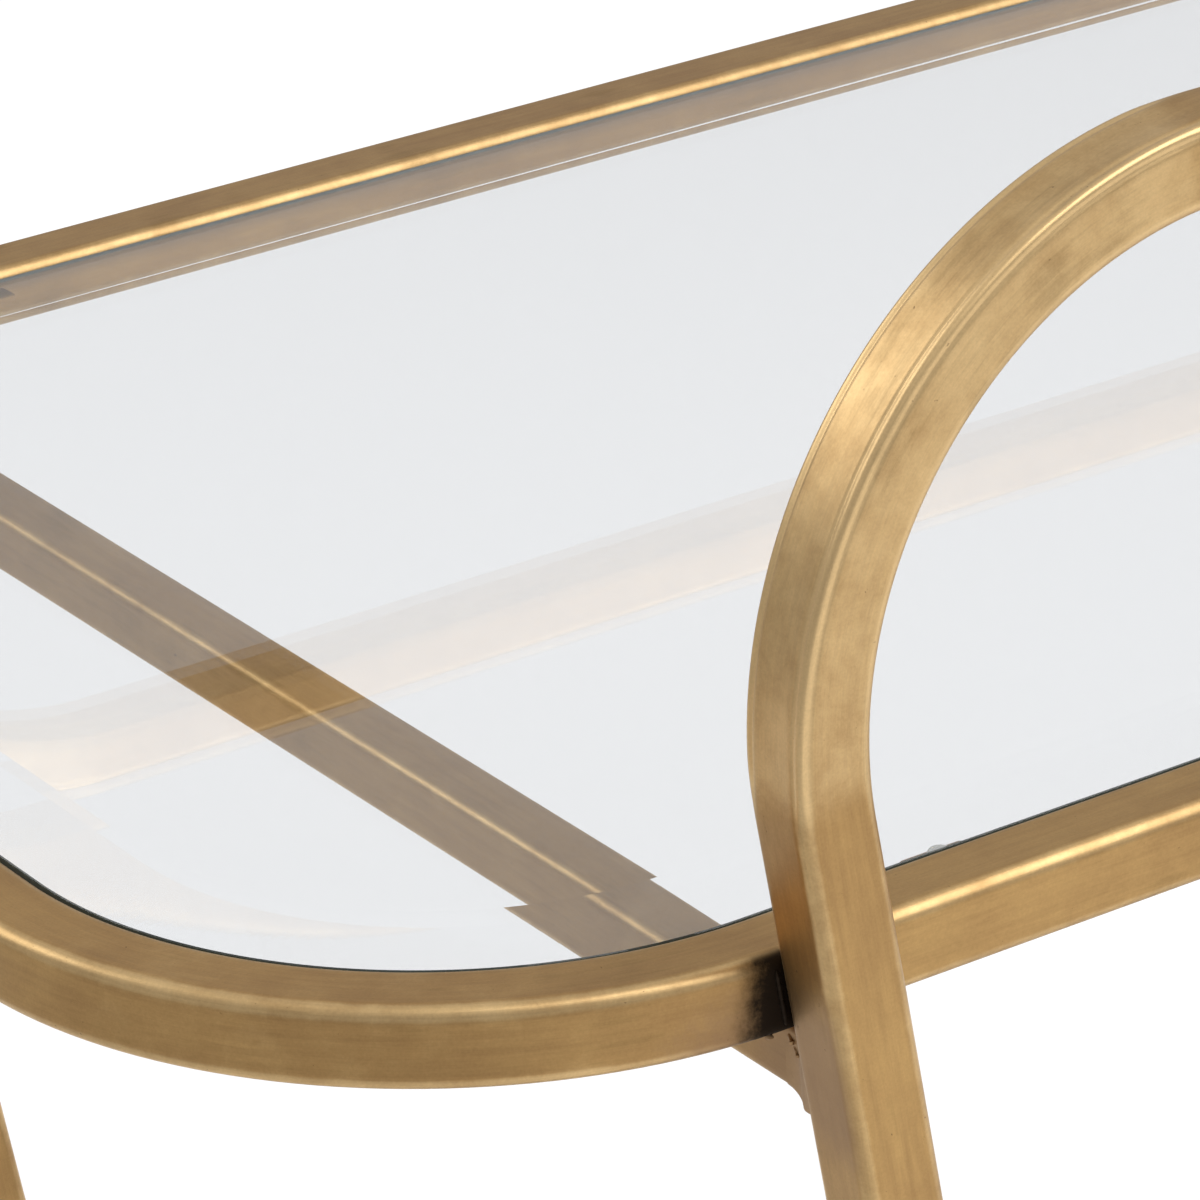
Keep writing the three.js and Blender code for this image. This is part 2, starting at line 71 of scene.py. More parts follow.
class Value:
    """A number that a shader works out, for use in Python arithmetic."""

    def __init__(self, shader: "Shader", socket: bpy.types.NodeSocket) -> None:
        """Wraps an output socket of a shader's tree."""
        self.shader = shader
        self.socket = socket

    def maths(self, operation: str, *others: "Value | float", swap: bool = False) -> "Value":
        """Adds a Math node.

        Args:
            operation: The Math node's operation.
            others: The further operands, values or plain numbers.
            swap: True to put this value second.

        Returns:
            The node's result.
        """
        operands = [self, *others]
        if swap:
            operands.reverse()
        node = self.shader.add("ShaderNodeMath", {"operation": operation}, dict(enumerate(operands)))
        return Value(self.shader, node.outputs[0])

    def __add__(self, other: "Value | float") -> "Value":
        """This value plus another."""
        return self.maths("ADD", other)

    __radd__ = __add__

    def __sub__(self, other: "Value | float") -> "Value":
        """This value less another."""
        return self.maths("SUBTRACT", other)

    def __rsub__(self, other: float) -> "Value":
        """A number less this value."""
        return self.maths("SUBTRACT", other, swap=True)

    def __mul__(self, other: "Value | float") -> "Value":
        """This value times another."""
        return self.maths("MULTIPLY", other)

    __rmul__ = __mul__

    def __pow__(self, power: float) -> "Value":
        """This value to a power."""
        return self.maths("POWER", power)

    def __abs__(self) -> "Value":
        """This value without its sign."""
        return self.maths("ABSOLUTE")

    def largest(self, other: "Value | float") -> "Value":
        """The larger of this value and another."""
        return self.maths("MAXIMUM", other)

    def rise(self, low: float, high: float) -> "Value":
        """Runs smoothly from 0 where this value is low to 1 where it is high.

        Args:
            low: The value at which the result is 0.
            high: The value at which the result is 1; it may be the smaller one.

        Returns:
            The share, never outside 0 to 1.
        """
        flipped = high < low
        ends = (1.0, 0.0) if flipped else (0.0, 1.0)
        node = self.shader.add(
            "ShaderNodeMapRange",
            {"interpolation_type": "SMOOTHSTEP"},
            {
                "Value": self,
                "From Min": min(low, high),
                "From Max": max(low, high),
                "To Min": ends[0],
                "To Max": ends[1],
            },
        )
        return Value(self.shader, node.outputs["Result"])


class Shader:
    """A material, or the light of the surroundings, under construction."""

    def __init__(self, owner: "bpy.types.Material | bpy.types.World") -> None:
        """Empties the node tree of what it is for."""
        self.owner = owner
        owner.use_nodes = True
        self.tree = owner.node_tree
        self.tree.nodes.clear()

    def add(
        self, kind: str, settings: dict[str, object] | None = None, inputs: dict | None = None
    ) -> bpy.types.Node:
        """Adds a node, sets it up and feeds it.

        Args:
            kind: The node's type.
            settings: The node's own settings, set first. "stops" holds a ramp's (place, colour) pairs.
            inputs: By name or number, what each socket holds: a value, a socket or a plain number.

        Returns:
            The node.
        """
        node = self.tree.nodes.new(kind)
        for name, setting in (settings or {}).items():
            if name == "stops":
                ramp = node.color_ramp
                while len(ramp.elements) < len(setting):
                    ramp.elements.new(0.5)
                for element, (place, colour) in zip(ramp.elements, setting):
                    element.position = place
                    element.color = (*colour, 1.0)
            else:
                setattr(node, name, setting)
        for name, source in (inputs or {}).items():
            socket = node.inputs[name]
            if isinstance(source, Value):
                self.tree.links.new(source.socket, socket)
            elif isinstance(source, bpy.types.NodeSocket):
                self.tree.links.new(source, socket)
            elif isinstance(source, tuple) and len(source) == 3 and socket.type == "RGBA":
                socket.default_value = (*source, 1.0)
            else:
                socket.default_value = source
        return node

    def spot(self, kind: str = "Object") -> bpy.types.NodeSocket:
        """The point's place in its object, in metres, or another kind of coordinate."""
        return self.add("ShaderNodeTexCoord").outputs[kind]

    def carried(self, name: str) -> bpy.types.NodeSocket:
        """The values that the mesh carries under a name."""
        return self.add("ShaderNodeAttribute", {"attribute_name": name}).outputs["Vector"]

    def stretched(self, vector: bpy.types.NodeSocket, by: tuple) -> bpy.types.NodeSocket:
        """Scales a vector by its own factor along each axis."""
        node = self.add("ShaderNodeVectorMath", {"operation": "MULTIPLY"}, {0: vector, 1: by})
        return node.outputs[0]

    def noise(
        self,
        vector: bpy.types.NodeSocket,
        by: "float | tuple",
        detail: float = 3.0,
        roughness: float = 0.55,
        distortion: float = 0.0,
    ) -> Value:
        """Cloudy noise over a vector.

        Args:
            vector: The coordinates, in metres.
            by: How many features there are to a metre, the same along each axis or three numbers.
            detail: How many finer layers are added.
            roughness: How strong the finer layers are.
            distortion: How far the noise folds into itself.

        Returns:
            Values from 0 to 1, mostly near 0.5.
        """
        node = self.add(
            "ShaderNodeTexNoise",
            {"noise_dimensions": "3D"},
            {
                "Vector": self.stretched(vector, by if isinstance(by, tuple) else (by,) * 3),
                "Scale": 1.0,
                "Detail": detail,
                "Roughness": roughness,
                "Distortion": distortion,
            },
        )
        return Value(self, node.outputs[0])

    def parts(self, vector: bpy.types.NodeSocket) -> list[Value]:
        """Splits a vector into its three values."""
        node = self.add("ShaderNodeSeparateXYZ", None, {0: vector})
        return [Value(self, socket) for socket in node.outputs]

    def blend(self, share: "Value | float", first: object, second: object) -> bpy.types.NodeSocket:
        """Mixes two colours.

        Args:
            share: How much of the second colour there is.
            first: A colour or a colour socket.
            second: A colour or a colour socket.

        Returns:
            The mixed colour.
        """
        settings = {"data_type": "RGBA", "blend_type": "MIX", "clamp_factor": True}
        return self.add("ShaderNodeMix", settings, {0: share, 6: first, 7: second}).outputs[2]

    def dimmed(self, colour: bpy.types.NodeSocket, by: Value) -> bpy.types.NodeSocket:
        """Makes a colour darker or lighter by a factor."""
        node = self.add("ShaderNodeVectorMath", {"operation": "SCALE"}, {0: colour, "Scale": by})
        return node.outputs[0]

    def bump(self, height: Value, depth: float, strength: float = 1.0) -> bpy.types.NodeSocket:
        """Turns a height into a normal.

        Args:
            height: The relief, from 0 to 1.
            depth: What a height of 1 stands for, in metres.
            strength: How much of the relief is shown.

        Returns:
            The normal.
        """
        inputs = {"Height": height, "Distance": depth, "Strength": strength}
        return self.add("ShaderNodeBump", None, inputs).outputs["Normal"]

    def finish(self, surface: bpy.types.NodeSocket) -> bpy.types.Material:
        """Closes the material with the surface it shows."""
        self.add("ShaderNodeOutputMaterial", None, {"Surface": surface})
        return self.owner

    def surface(self, **inputs: object) -> bpy.types.NodeSocket:
        """Makes a Principled surface.

        Args:
            inputs: What feeds its sockets, with _ for each space in a socket's name.

        Returns:
            The surface.
        """
        named = {name.replace("_", " "): source for name, source in inputs.items()}
        return self.add("ShaderNodeBsdfPrincipled", None, named).outputs[0]

    def solid(self, **inputs: object) -> bpy.types.Material:
        """Closes the material with one Principled surface, fed as surface() is."""
        return self.finish(self.surface(**inputs))

    def between(
        self, share: Value, first: bpy.types.NodeSocket, second: bpy.types.NodeSocket
    ) -> bpy.types.NodeSocket:
        """Mixes two surfaces by a share of the second."""
        return self.add("ShaderNodeMixShader", None, {0: share, 1: first, 2: second}).outputs[0]


# ---- Finishes ---------------------------------------------------------------------------------------


class Grain(Enum):
    """Which way a metal's brushing runs."""

    ALONG_TUBE = "along the tube"
    PRESSED = "pressed part, brushed at random"


@dataclass(frozen=True)
class Finish(ABC):
    """A surface finish, made into a material when it is first used."""

    name: str
    slot: str

    @abstractmethod
    def make(self) -> bpy.types.Material:
        """Builds the finish's material."""

    def material(self) -> bpy.types.Material:
        """The finish's material, made once."""
        return bpy.data.materials.get(self.name) or self.make()

    def started(self) -> Shader:
        """An empty material of the finish's name, to be filled."""
        return Shader(bpy.data.materials.new(self.name))


@dataclass(frozen=True)
class WeldPlace:
    """Where a shelf ring meets the legs: the leg's outer face and the ring's middle height."""

    leg_x: float
    height: float
    lean: float
    half_depth: float


@dataclass(frozen=True)
class AgedBrass(Finish):
    """Brushed antique brass: gold worn through a brown patina, paler on edges and bends, partly from
    wear and partly as painted sheen.
    """

    name: str = "aged brass tube"
    slot: str = "aged_brass"
    grain: Grain = Grain.ALONG_TUBE
    gold: Colour = (0.480, 0.302, 0.118)
    brown: Colour = (0.325, 0.190, 0.078)
    # Pale gold of wear, also used as painted sheen on edges and bends.
    pale: Colour = (0.710, 0.510, 0.260)
    # Painted shade: grey for the ring's inner face just under the glass.
    painted_shade_grey: Colour = (0.150, 0.130, 0.118)
    # Near-black for a patch on the ring's outer face beside each leg.
    leg_side_black: Colour = (0.020, 0.015, 0.012)
    heated: Colour = (0.300, 0.190, 0.115)
    welds: tuple[WeldPlace, ...] = ()
    leg_side_black_past_face: bool = False

    def leg_side_marks(self, s: Shader, spot: bpy.types.NodeSocket) -> tuple[Value, Value]:
        """Works out the marks round each leg: a near-black patch on the ring's outer face beside it, and
        a heat tint.

        Args:
            s: The shader.
            spot: The point's place, in metres.

        Returns:
            How near-black and how heat-tinted the metal is.
        """
        x, y, z = s.parts(spot)
        ragged = s.noise(spot, 330.0, 4.0, 0.7)
        depth = abs(y)
        leg_side_darkness = heated = None
        for weld in self.welds:
            up = z - weld.height
            past = abs(x) - (up * math.tan(weld.lean) + weld.leg_x)
            near = (past + up * 0.3).rise(0.023, 0.0) * past.rise(-0.006, -0.002)
            mark = (near**2.0 + (ragged - 0.5) * near * 0.95).rise(0.14, 0.86)
            mark = mark * depth.rise(weld.half_depth - 0.0042, weld.half_depth - 0.0012)
            mark = mark * abs(up).rise(0.0114, 0.0098)
            if not self.leg_side_black_past_face:
                mark = mark * depth.rise(weld.half_depth + 0.00025, weld.half_depth + 0.0001)
            low = up + 0.016
            warm = (past * past * 0.5 + low * low) * 1500.0 + (ragged - 0.5) * 0.7
            warm = warm.rise(1.0, 0.1) * past.rise(-0.02, -0.002)
            warm = warm * depth.rise(weld.half_depth - 0.03, weld.half_depth - 0.006)
            warm = warm * depth.rise(weld.half_depth + 0.0203, weld.half_depth + 0.0165)
            leg_side_darkness = mark if leg_side_darkness is None else leg_side_darkness.largest(mark)
            heated = warm if heated is None else heated.largest(warm)
        return leg_side_darkness, heated

    def make(self) -> bpy.types.Material:
        """Builds the metal: soft clouds of patina, streaks, fine brushing, pits, heat tint and a
        near-black patch by each leg.

        Returns:
            The material.
        """
        s = self.started()
        spot = s.spot()
        if self.grain is Grain.ALONG_TUBE:
            run = s.carried("run")
            edge, bend, inside = s.parts(s.carried("trait"))
            fine = s.noise(run, (110.0, 2600.0, 1.0), 3.0, 0.6)
            brushed = s.noise(run, (150.0, 5200.0, 1.0), 2.0, 0.6)
            streak = s.noise(run, (30.0, 420.0, 1.0), 4.0, 0.62, 0.2)
        else:
            edge = bend = s.noise(spot, 40.0) * 0.3
            fine = s.noise(spot, (500.0, 500.0, 1500.0), 3.0, 0.6)
            brushed = s.noise(spot, (900.0, 900.0, 2600.0), 2.0, 0.6)
            streak = s.noise(spot, (120.0, 120.0, 260.0), 4.0, 0.6)
        cloud = s.noise(spot, 60.0, 6.0, 0.68, 0.25)
        drift = s.noise(spot, 11.0, 2.0)
        speckle = s.noise(spot, 1500.0, 2.0, 0.6)
        pits = s.noise(spot, 520.0, 2.0, 0.7)

        tone = (cloud - 0.5) * 1.0 + (streak - 0.5) * 0.8 + (drift - 0.5) * 0.9
        patina = tone.rise(0.75, -0.75)
        colour = s.blend(patina, self.gold, self.brown)
        # Pale on edges and bends: partly wear, partly a painted sheen standing in for the highlights the
        # brushing catches from above.
        wear_and_sheen = (edge * 0.5 + bend * 0.6 + (cloud - 0.5) * 0.9).rise(0.1, 0.95)
        colour = s.blend(wear_and_sheen * 0.75, colour, self.pale)
        smudge = (s.noise(spot, 26.0, 3.0) + (streak - 0.5) * 0.9).rise(0.56, 0.80)
        colour = s.dimmed(colour, fine * 0.22 + streak * 0.14 + speckle * 0.26 - smudge * 0.20 + 0.72)
        fleck = (pits + (streak - 0.5) * 0.35).rise(0.735, 0.80)
        colour = s.blend(fleck * 0.55, colour, (0.11, 0.066, 0.036))
        rough = patina * 0.07 + (fine - 0.5) * 0.10 - wear_and_sheen * 0.03 + fleck * 0.1 + smudge * 0.05 + 0.385
        if self.welds:
            if self.grain is Grain.ALONG_TUBE:
                # Painted shade: a grey band along the ring's inner face just under the glass, darkest by
                # the gap beside the glass.
                z = s.parts(spot)[2]
                dull = 0.0
                for weld in self.welds:
                    up = z - weld.height
                    dull = up.rise(-0.003, 0.006) * up.rise(0.0068, 0.0060) + dull
                colour = s.blend(inside * dull * 0.85, colour, self.painted_shade_grey)
            leg_side_darkness, heated = self.leg_side_marks(s, spot)
            colour = s.blend(heated * 0.55, colour, self.heated)
            # A near-black patch on the ring's outer face beside each leg.
            colour = s.blend(leg_side_darkness * 0.97, colour, self.leg_side_black)
            rough = rough + heated * 0.05 + leg_side_darkness * 0.2
        relief = brushed * 0.55 + fine * 0.30 + speckle * 0.35 + cloud * 0.35 - fleck * 1.2
        return s.solid(
            Base_Color=colour,
            Metallic=1.0,
            Roughness=rough,
            Normal=s.bump(relief, 0.00003, 0.6),
        )


@dataclass(frozen=True)
class ClearGlass(Finish):
    """Polished float glass with ground edges, drawn near-black green: partly the glass's own green seen
    edge-on, partly painted shade of the gap beside the rail. Light from lamps passes straight through
    it.
    """

    name: str = "clear glass"
    slot: str = "clear_glass"
    tint: Colour = (0.815, 0.826, 0.832)
    shade: Colour = (0.90, 0.915, 0.91)
    # Near-black green for the edge faces: the glass's own green seen edge-on, with painted shade of the
    # gap beside the rail.
    edge: Colour = (0.085, 0.105, 0.095)
    edge_deep: Colour = (0.045, 0.060, 0.052)
    ior: float = 1.52

    def make(self) -> bpy.types.Material:
        """Builds the glass, with faint smears in its polish.

        Returns:
            The material.
        """
        s = self.started()
        spot = s.spot()
        smear = s.noise(spot, (9.0, 14.0, 9.0), 4.0, 0.6, 0.6)
        speck = s.noise(spot, 420.0, 1.0)
        glass = s.surface(
            Base_Color=self.tint,
            Transmission_Weight=1.0,
            IOR=self.ior,
            Roughness=smear.rise(0.55, 0.9) * 0.012 + speck.rise(0.78, 0.9) * 0.05,
        )
        lamps = s.add("ShaderNodeBsdfTransparent", None, {"Color": self.shade}).outputs[0]
        shadow = s.add("ShaderNodeLightPath").outputs["Is Shadow Ray"]
        facing = s.parts(s.add("ShaderNodeNewGeometry").outputs["True Normal"])[2]
        # The edge faces: the glass's own green seen edge-on, darkened as painted shade of the gap beside
        # the rail.
        ground = s.surface(
            Base_Color=s.blend(speck, self.edge, self.edge_deep), Roughness=speck * 0.2 + 0.35
        )
        body = s.between(abs(facing).rise(0.9, 0.5), glass, ground)
        return s.finish(s.between(shadow, body, lamps))


@dataclass(frozen=True)
class Silicone(Finish):
    """Soft clear silicone, slightly milky."""

    name: str = "milky silicone"
    slot: str = "silicone"
    milk: Colour = (0.80, 0.80, 0.76)
    clear: Colour = (0.92, 0.93, 0.91)

    def make(self) -> bpy.types.Material:
        """Builds the silicone, clouded unevenly.

        Returns:
            The material.
        """
        s = self.started()
        spot = s.spot()
        cloud = s.noise(spot, 500.0, 3.0)
        return s.solid(
            Base_Color=s.blend(cloud.rise(0.3, 0.7), self.milk, self.clear),
            Roughness=0.32 + cloud * 0.2,
            Transmission_Weight=0.55,
            IOR=1.41,
        )


@dataclass(frozen=True)
class Rubber(Finish):
    """Matt black rubber, dusty where it rolls."""

    name: str = "tyre rubber"
    slot: str = "tyre_rubber"
    black: Colour = (0.017, 0.016, 0.015)
    dust: Colour = (0.075, 0.070, 0.062)

    def make(self) -> bpy.types.Material:
        """Builds the rubber with a grain and a little dust.

        Returns:
            The material.
        """
        s = self.started()
        spot = s.spot()
        grain = s.noise(spot, 1800.0, 2.0)
        patch = s.noise(spot, 120.0, 4.0, 0.65)
        dusty = (patch + (grain - 0.5) * 0.4).rise(0.5, 0.85)
        return s.solid(
            Base_Color=s.blend(dusty * 0.6, self.black, self.dust),
            Roughness=0.62 + dusty * 0.25 + (grain - 0.5) * 0.15,
            Normal=s.bump(grain, 0.00012, 0.5),
        )


@dataclass(frozen=True)
class Plastic(Finish):
    """Moulded black plastic with a fine spark-eroded grain."""

    name: str = "hub plastic"
    slot: str = "hub_plastic"
    black: Colour = (0.024, 0.023, 0.022)
    worn: Colour = (0.06, 0.057, 0.054)

    def make(self) -> bpy.types.Material:
        """Builds the plastic.

        Returns:
            The material.
        """
        s = self.started()
        spot = s.spot()
        grain = s.noise(spot, 2600.0, 2.0, 0.6)
        scuff = s.noise(spot, 160.0, 4.0, 0.6, 0.5)
        return s.solid(
            Base_Color=s.blend(scuff.rise(0.58, 0.8) * 0.5, self.black, self.worn),
            Roughness=0.36 + grain * 0.16 + scuff.rise(0.5, 0.8) * 0.12,
            Normal=s.bump(grain, 0.00008, 0.4),
        )


@dataclass(frozen=True)
class PlatedSteel(Finish):
    """Zinc-plated steel, slightly cloudy."""

    name: str = "plated steel"
    slot: str = "plated_steel"
    bright: Colour = (0.60, 0.60, 0.59)
    dull: Colour = (0.36, 0.36, 0.355)

    def make(self) -> bpy.types.Material:
        """Builds the plating.

        Returns:
            The material.
        """
        s = self.started()
        spot = s.spot()
        cloud = s.noise(spot, 220.0, 4.0, 0.6, 0.3)
        turned = s.noise(spot, (120.0, 120.0, 2400.0), 2.0)
        return s.solid(
            Base_Color=s.blend(cloud.rise(0.35, 0.7), self.bright, self.dull),
            Metallic=1.0,
            Roughness=0.26 + cloud * 0.18 + turned * 0.08,
            Normal=s.bump(turned, 0.00004, 0.4),
        )


@dataclass(frozen=True)
class StudioFloor(Finish):
    """Matt white studio floor with painted light: it glows, most in a pool behind the cart, and painted
    shade greys it to the left.
    """

    name: str = "studio floor"
    slot: str = ""
    white: Colour = (0.86, 0.86, 0.865)
    # Painted shade: the floor turns this grey to the left, where less light falls.
    grey: Colour = (0.52, 0.52, 0.525)
    pool: tuple[float, float] = (1.3, 2.4)
    painted_pool_glow: Colour = (0.270, 0.270, 0.270)
    painted_base_glow: Colour = (0.165, 0.165, 0.165)

    def make(self) -> bpy.types.Material:
        """Builds the floor.

        Returns:
            The material.
        """
        s = self.started()
        spot = s.spot()
        x, y, _ = s.parts(spot)
        mottle = s.noise(spot, 1.3, 3.0)
        away = (x - self.pool[0]) * (x - self.pool[0]) + (y - self.pool[1]) * (y - self.pool[1])
        # Painted light: the floor's glow is strongest in a pool behind the cart.
        painted_glow_share = away.rise(4.5, 0.6)
        # Painted shade: the floor's colour turns grey to the left.
        left = (x + (mottle - 0.5) * 0.1).rise(-0.25, -1.0)
        return s.solid(
            Base_Color=s.blend(left, self.white, self.grey),
            Roughness=mottle * 0.05 + 0.85,
            Specular_IOR_Level=0.1,
            Emission_Color=s.blend(painted_glow_share, self.painted_base_glow, self.painted_pool_glow),
            Emission_Strength=1.0,
        )


# ---- Mesh making ------------------------------------------------------------------------------------


def boxed(node: str) -> list[Vector]:
    """The low and the high corner of one of the frame's pieces, in millimetres."""
    return [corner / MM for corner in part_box(node)]


def added(name: str, data: bpy.types.ID) -> bpy.types.Object:
    """Puts an object into the scene.

    Args:
        name: The object's name.
        data: Its mesh, lamp or camera.

    Returns:
        The object.
    """
    thing = bpy.data.objects.new(name, data)
    bpy.context.scene.collection.objects.link(thing)
    return thing


def faced_out(mesh: bpy.types.Mesh) -> None:
    """Turns every face of a closed mesh outwards.

    Args:
        mesh: The mesh, changed in place.
    """
    built = bmesh.new()
    built.from_mesh(mesh)
    bmesh.ops.recalc_face_normals(built, faces=built.faces)
    built.to_mesh(mesh)
    built.free()


@dataclass
class Solid:
    """A mesh in millimetres, with the values that its finish reads.

    run holds the distance along and round a tube in metres, for each face corner. trait holds how far
    each point is on an edge, on a bend and on a ring's inner face.
    """

    points: np.ndarray
    faces: Faces
    run: np.ndarray | None = None
    trait: np.ndarray | None = None

    def moved(self, matrix: Matrix) -> "Solid":
        """The same mesh turned and moved.

        Args:
            matrix: The move, in millimetres.

        Returns:
            A new mesh.
        """
        turn = np.array(matrix)
        points = self.points @ turn[:3, :3].T + turn[:3, 3]
        faces = self.faces
        if np.linalg.det(turn[:3, :3]) < 0:
            faces = [tuple(reversed(face)) for face in faces]
        return Solid(points, faces, self.run, self.trait)

    def shown(
        self, name: str, finish: Finish, body: str, *nodes: str, flat: bool = False
    ) -> bpy.types.Object:
        """Makes the mesh an object that rides on a body and stands for the frame's own pieces.

        Args:
            name: The object's name.
            finish: Its finish.
            body: The body it moves with.
            nodes: The frame's pieces that it stands for.
            flat: True to leave its faces flat, as on cut glass.

        Returns:
            The object.
        """
        mesh = bpy.data.meshes.new(name)
        mesh.from_pydata((self.points * MM).tolist(), [], self.faces)
        for title, values, domain in (("run", self.run, "CORNER"), ("trait", self.trait, "POINT")):
            if values is not None:
                kept = mesh.attributes.new(title, "FLOAT_VECTOR", domain)
                kept.data.foreach_set("vector", values.astype(np.float32).ravel())
        mesh.update()
        return dress(added(name, mesh), finish, body, *nodes, flat=flat)


def dress(
    thing: bpy.types.Object, finish: Finish, body: str, *nodes: str, flat: bool = False
) -> bpy.types.Object:
    """Gives an object its finish and its place on a body.

    Args:
        thing: A mesh object in the cart's frame.
        finish: Its finish.
        body: The body it moves with.
        nodes: The frame's pieces that it stands for.
        flat: True to leave its faces flat.

    Returns:
        The object.
    """
    mesh = thing.data
    faced_out(mesh)
    mesh.materials.clear()
    mesh.materials.append(finish.material())
    for polygon in mesh.polygons:
        polygon.use_smooth = not flat
    if not flat:
        mesh.set_sharp_from_angle(angle=SHARP)
    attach(thing, body)
    if nodes:
        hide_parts(*nodes)
    log.info("made %s for %s", thing.name, ", ".join(nodes) or "its own sake")
    return thing


def joined(*solids: Solid) -> Solid:
    """Puts several meshes together as one, without their finish values.

    Args:
        solids: The meshes.

    Returns:
        One mesh of them all.
    """
    points: list[np.ndarray] = []
    faces: Faces = []
    start = 0
    for solid in solids:
        points.append(solid.points)
        faces.extend(tuple(i + start for i in face) for face in solid.faces)
        start += len(solid.points)
    return Solid(np.concatenate(points), faces)


def arc(x: float, y: float, radius: float, start: float, stop: float, steps: int) -> list[Point]:
    """Points of an arc.

    Args:
        x: The centre's first coordinate.
        y: The centre's second coordinate.
        radius: The arc's radius.
        start: Its first angle, in radians.
        stop: Its last angle.
        steps: How many chords it has.

    Returns:
        The points, both ends included.
    """
    angles = [start + (stop - start) * i / steps for i in range(steps + 1)]
    return [(x + radius * math.cos(a), y + radius * math.sin(a)) for a in angles]


def rounded_box_outline(length: float, width: float, radius: float, steps: int) -> list[Point]:
    """Outline of a rectangle with round corners, about the origin.

    Args:
        length: Its size along X.
        width: Its size along Y.
        radius: The radius of its corners.
        steps: Chords in each corner.

    Returns:
        The outline's points, anticlockwise.
    """
    x, y, q = length / 2 - radius, width / 2 - radius, math.pi / 2
    return [
        *arc(x, y, radius, 0, q, steps),
        *arc(-x, y, radius, q, 2 * q, steps),
        *arc(-x, -y, radius, 2 * q, 3 * q, steps),
        *arc(x, -y, radius, 3 * q, 4 * q, steps),
    ]


def eased(outline: Sequence[Point], radius: float, steps: int = 3, closed: bool = True) -> list[Point]:
    """Rounds the corners of an outline.

    Args:
        outline: The points.
        radius: How far from each corner the rounding starts, at most.
        steps: Chords in each rounding.
        closed: False to keep the two ends as they are.

    Returns:
        The outline with round corners.
    """
    made: list[Point] = []
    count = len(outline)
    for i, corner in enumerate(outline):
        if not closed and i in (0, count - 1):
            made.append(corner)
            continue
        here = Vector(corner)
        back, on = Vector(outline[i - 1]) - here, Vector(outline[(i + 1) % count]) - here
        reach = min(radius, back.length * 0.45, on.length * 0.45)
        first, last = here + back.normalized() * reach, here + on.normalized() * reach
        for step in range(steps + 1):
            t = step / steps
            made.append(tuple(first.lerp(here, t).lerp(here.lerp(last, t), t)))
    return made


def turned(profile: Sequence[Point], segments: int = 48) -> Solid:
    """Turns a profile about Z.

    Args:
        profile: (radius, height) points. A radius of 0 at an end closes the solid there, and a profile
            that ends off the axis is joined back to its start.
        segments: Faces round the axis.

    Returns:
        The turned mesh.
    """
    points: list[Spot] = []
    rings: list[list[int]] = []
    for radius, height in profile:
        if radius < 1e-6:
            rings.append([len(points)] * segments)
            points.append((0.0, 0.0, height))
            continue
        rings.append(list(range(len(points), len(points) + segments)))
        for k in range(segments):
            angle = 2 * math.pi * k / segments
            points.append((radius * math.cos(angle), radius * math.sin(angle), height))
    pairs = list(zip(rings, rings[1:]))
    if profile[0][0] > 1e-6 and profile[-1][0] > 1e-6:
        pairs.append((rings[-1], rings[0]))
    faces = []
    for low, high in pairs:
        for k in range(segments):
            n = (k + 1) % segments
            face = (low[k], low[n], high[n], high[k])
            unique = tuple(dict.fromkeys(face))
            if len(unique) > 2:
                faces.append(unique)
    return Solid(np.array(points), faces)


def rod(radius: float, low: float, high: float, segments: int = 40) -> Solid:
    """A plain round bar about Z, to build or to cut with."""
    return turned([(0, low), (radius, low), (radius, high), (0, high)], segments)


def extruded(outline: Sequence[Point], low: float, high: float) -> Solid:
    """Extrudes an outline along Z.

    Args:
        outline: Its points.
        low: The height of its lower face.
        high: The height of its upper face.

    Returns:
        The closed mesh.
    """
    count = len(outline)
    points = [(x, y, low) for x, y in outline] + [(x, y, high) for x, y in outline]
    faces: Faces = [tuple(range(count - 1, -1, -1)), tuple(range(count, 2 * count))]
    faces += [(i, (i + 1) % count, count + (i + 1) % count, count + i) for i in range(count)]
    return Solid(np.array(points), faces)


def stacked(outlines: Sequence[Sequence[Spot]]) -> Solid:
    """Joins closed outlines of equal length one on another and closes both ends.

    Args:
        outlines: The outlines, in order, as points in space.

    Returns:
        The closed mesh.
    """
    count = len(outlines[0])
    points = [point for outline in outlines for point in outline]
    faces: Faces = []
    for level in range(len(outlines) - 1):
        start = level * count
        for i in range(count):
            n = (i + 1) % count
            faces.append((start + i, start + n, start + count + n, start + count + i))
    last = (len(outlines) - 1) * count
    faces += [tuple(range(count - 1, -1, -1)), tuple(range(last, last + count))]
    return Solid(np.array(points), faces)


UPRIGHT = Matrix.Rotation(math.pi / 2, 4, "X")
ALONG_X = Matrix(((0, 0, 1, 0), (1, 0, 0, 0), (0, 1, 0, 0), (0, 0, 0, 1)))
TIPPED = Matrix.Rotation(math.pi, 4, "X")
ALONG_Y = Matrix.Rotation(-math.pi / 2, 4, "X")


def place(x: float, y: float, z: float) -> Matrix:
    """A plain move, in millimetres."""
    return Matrix.Translation((x, y, z))


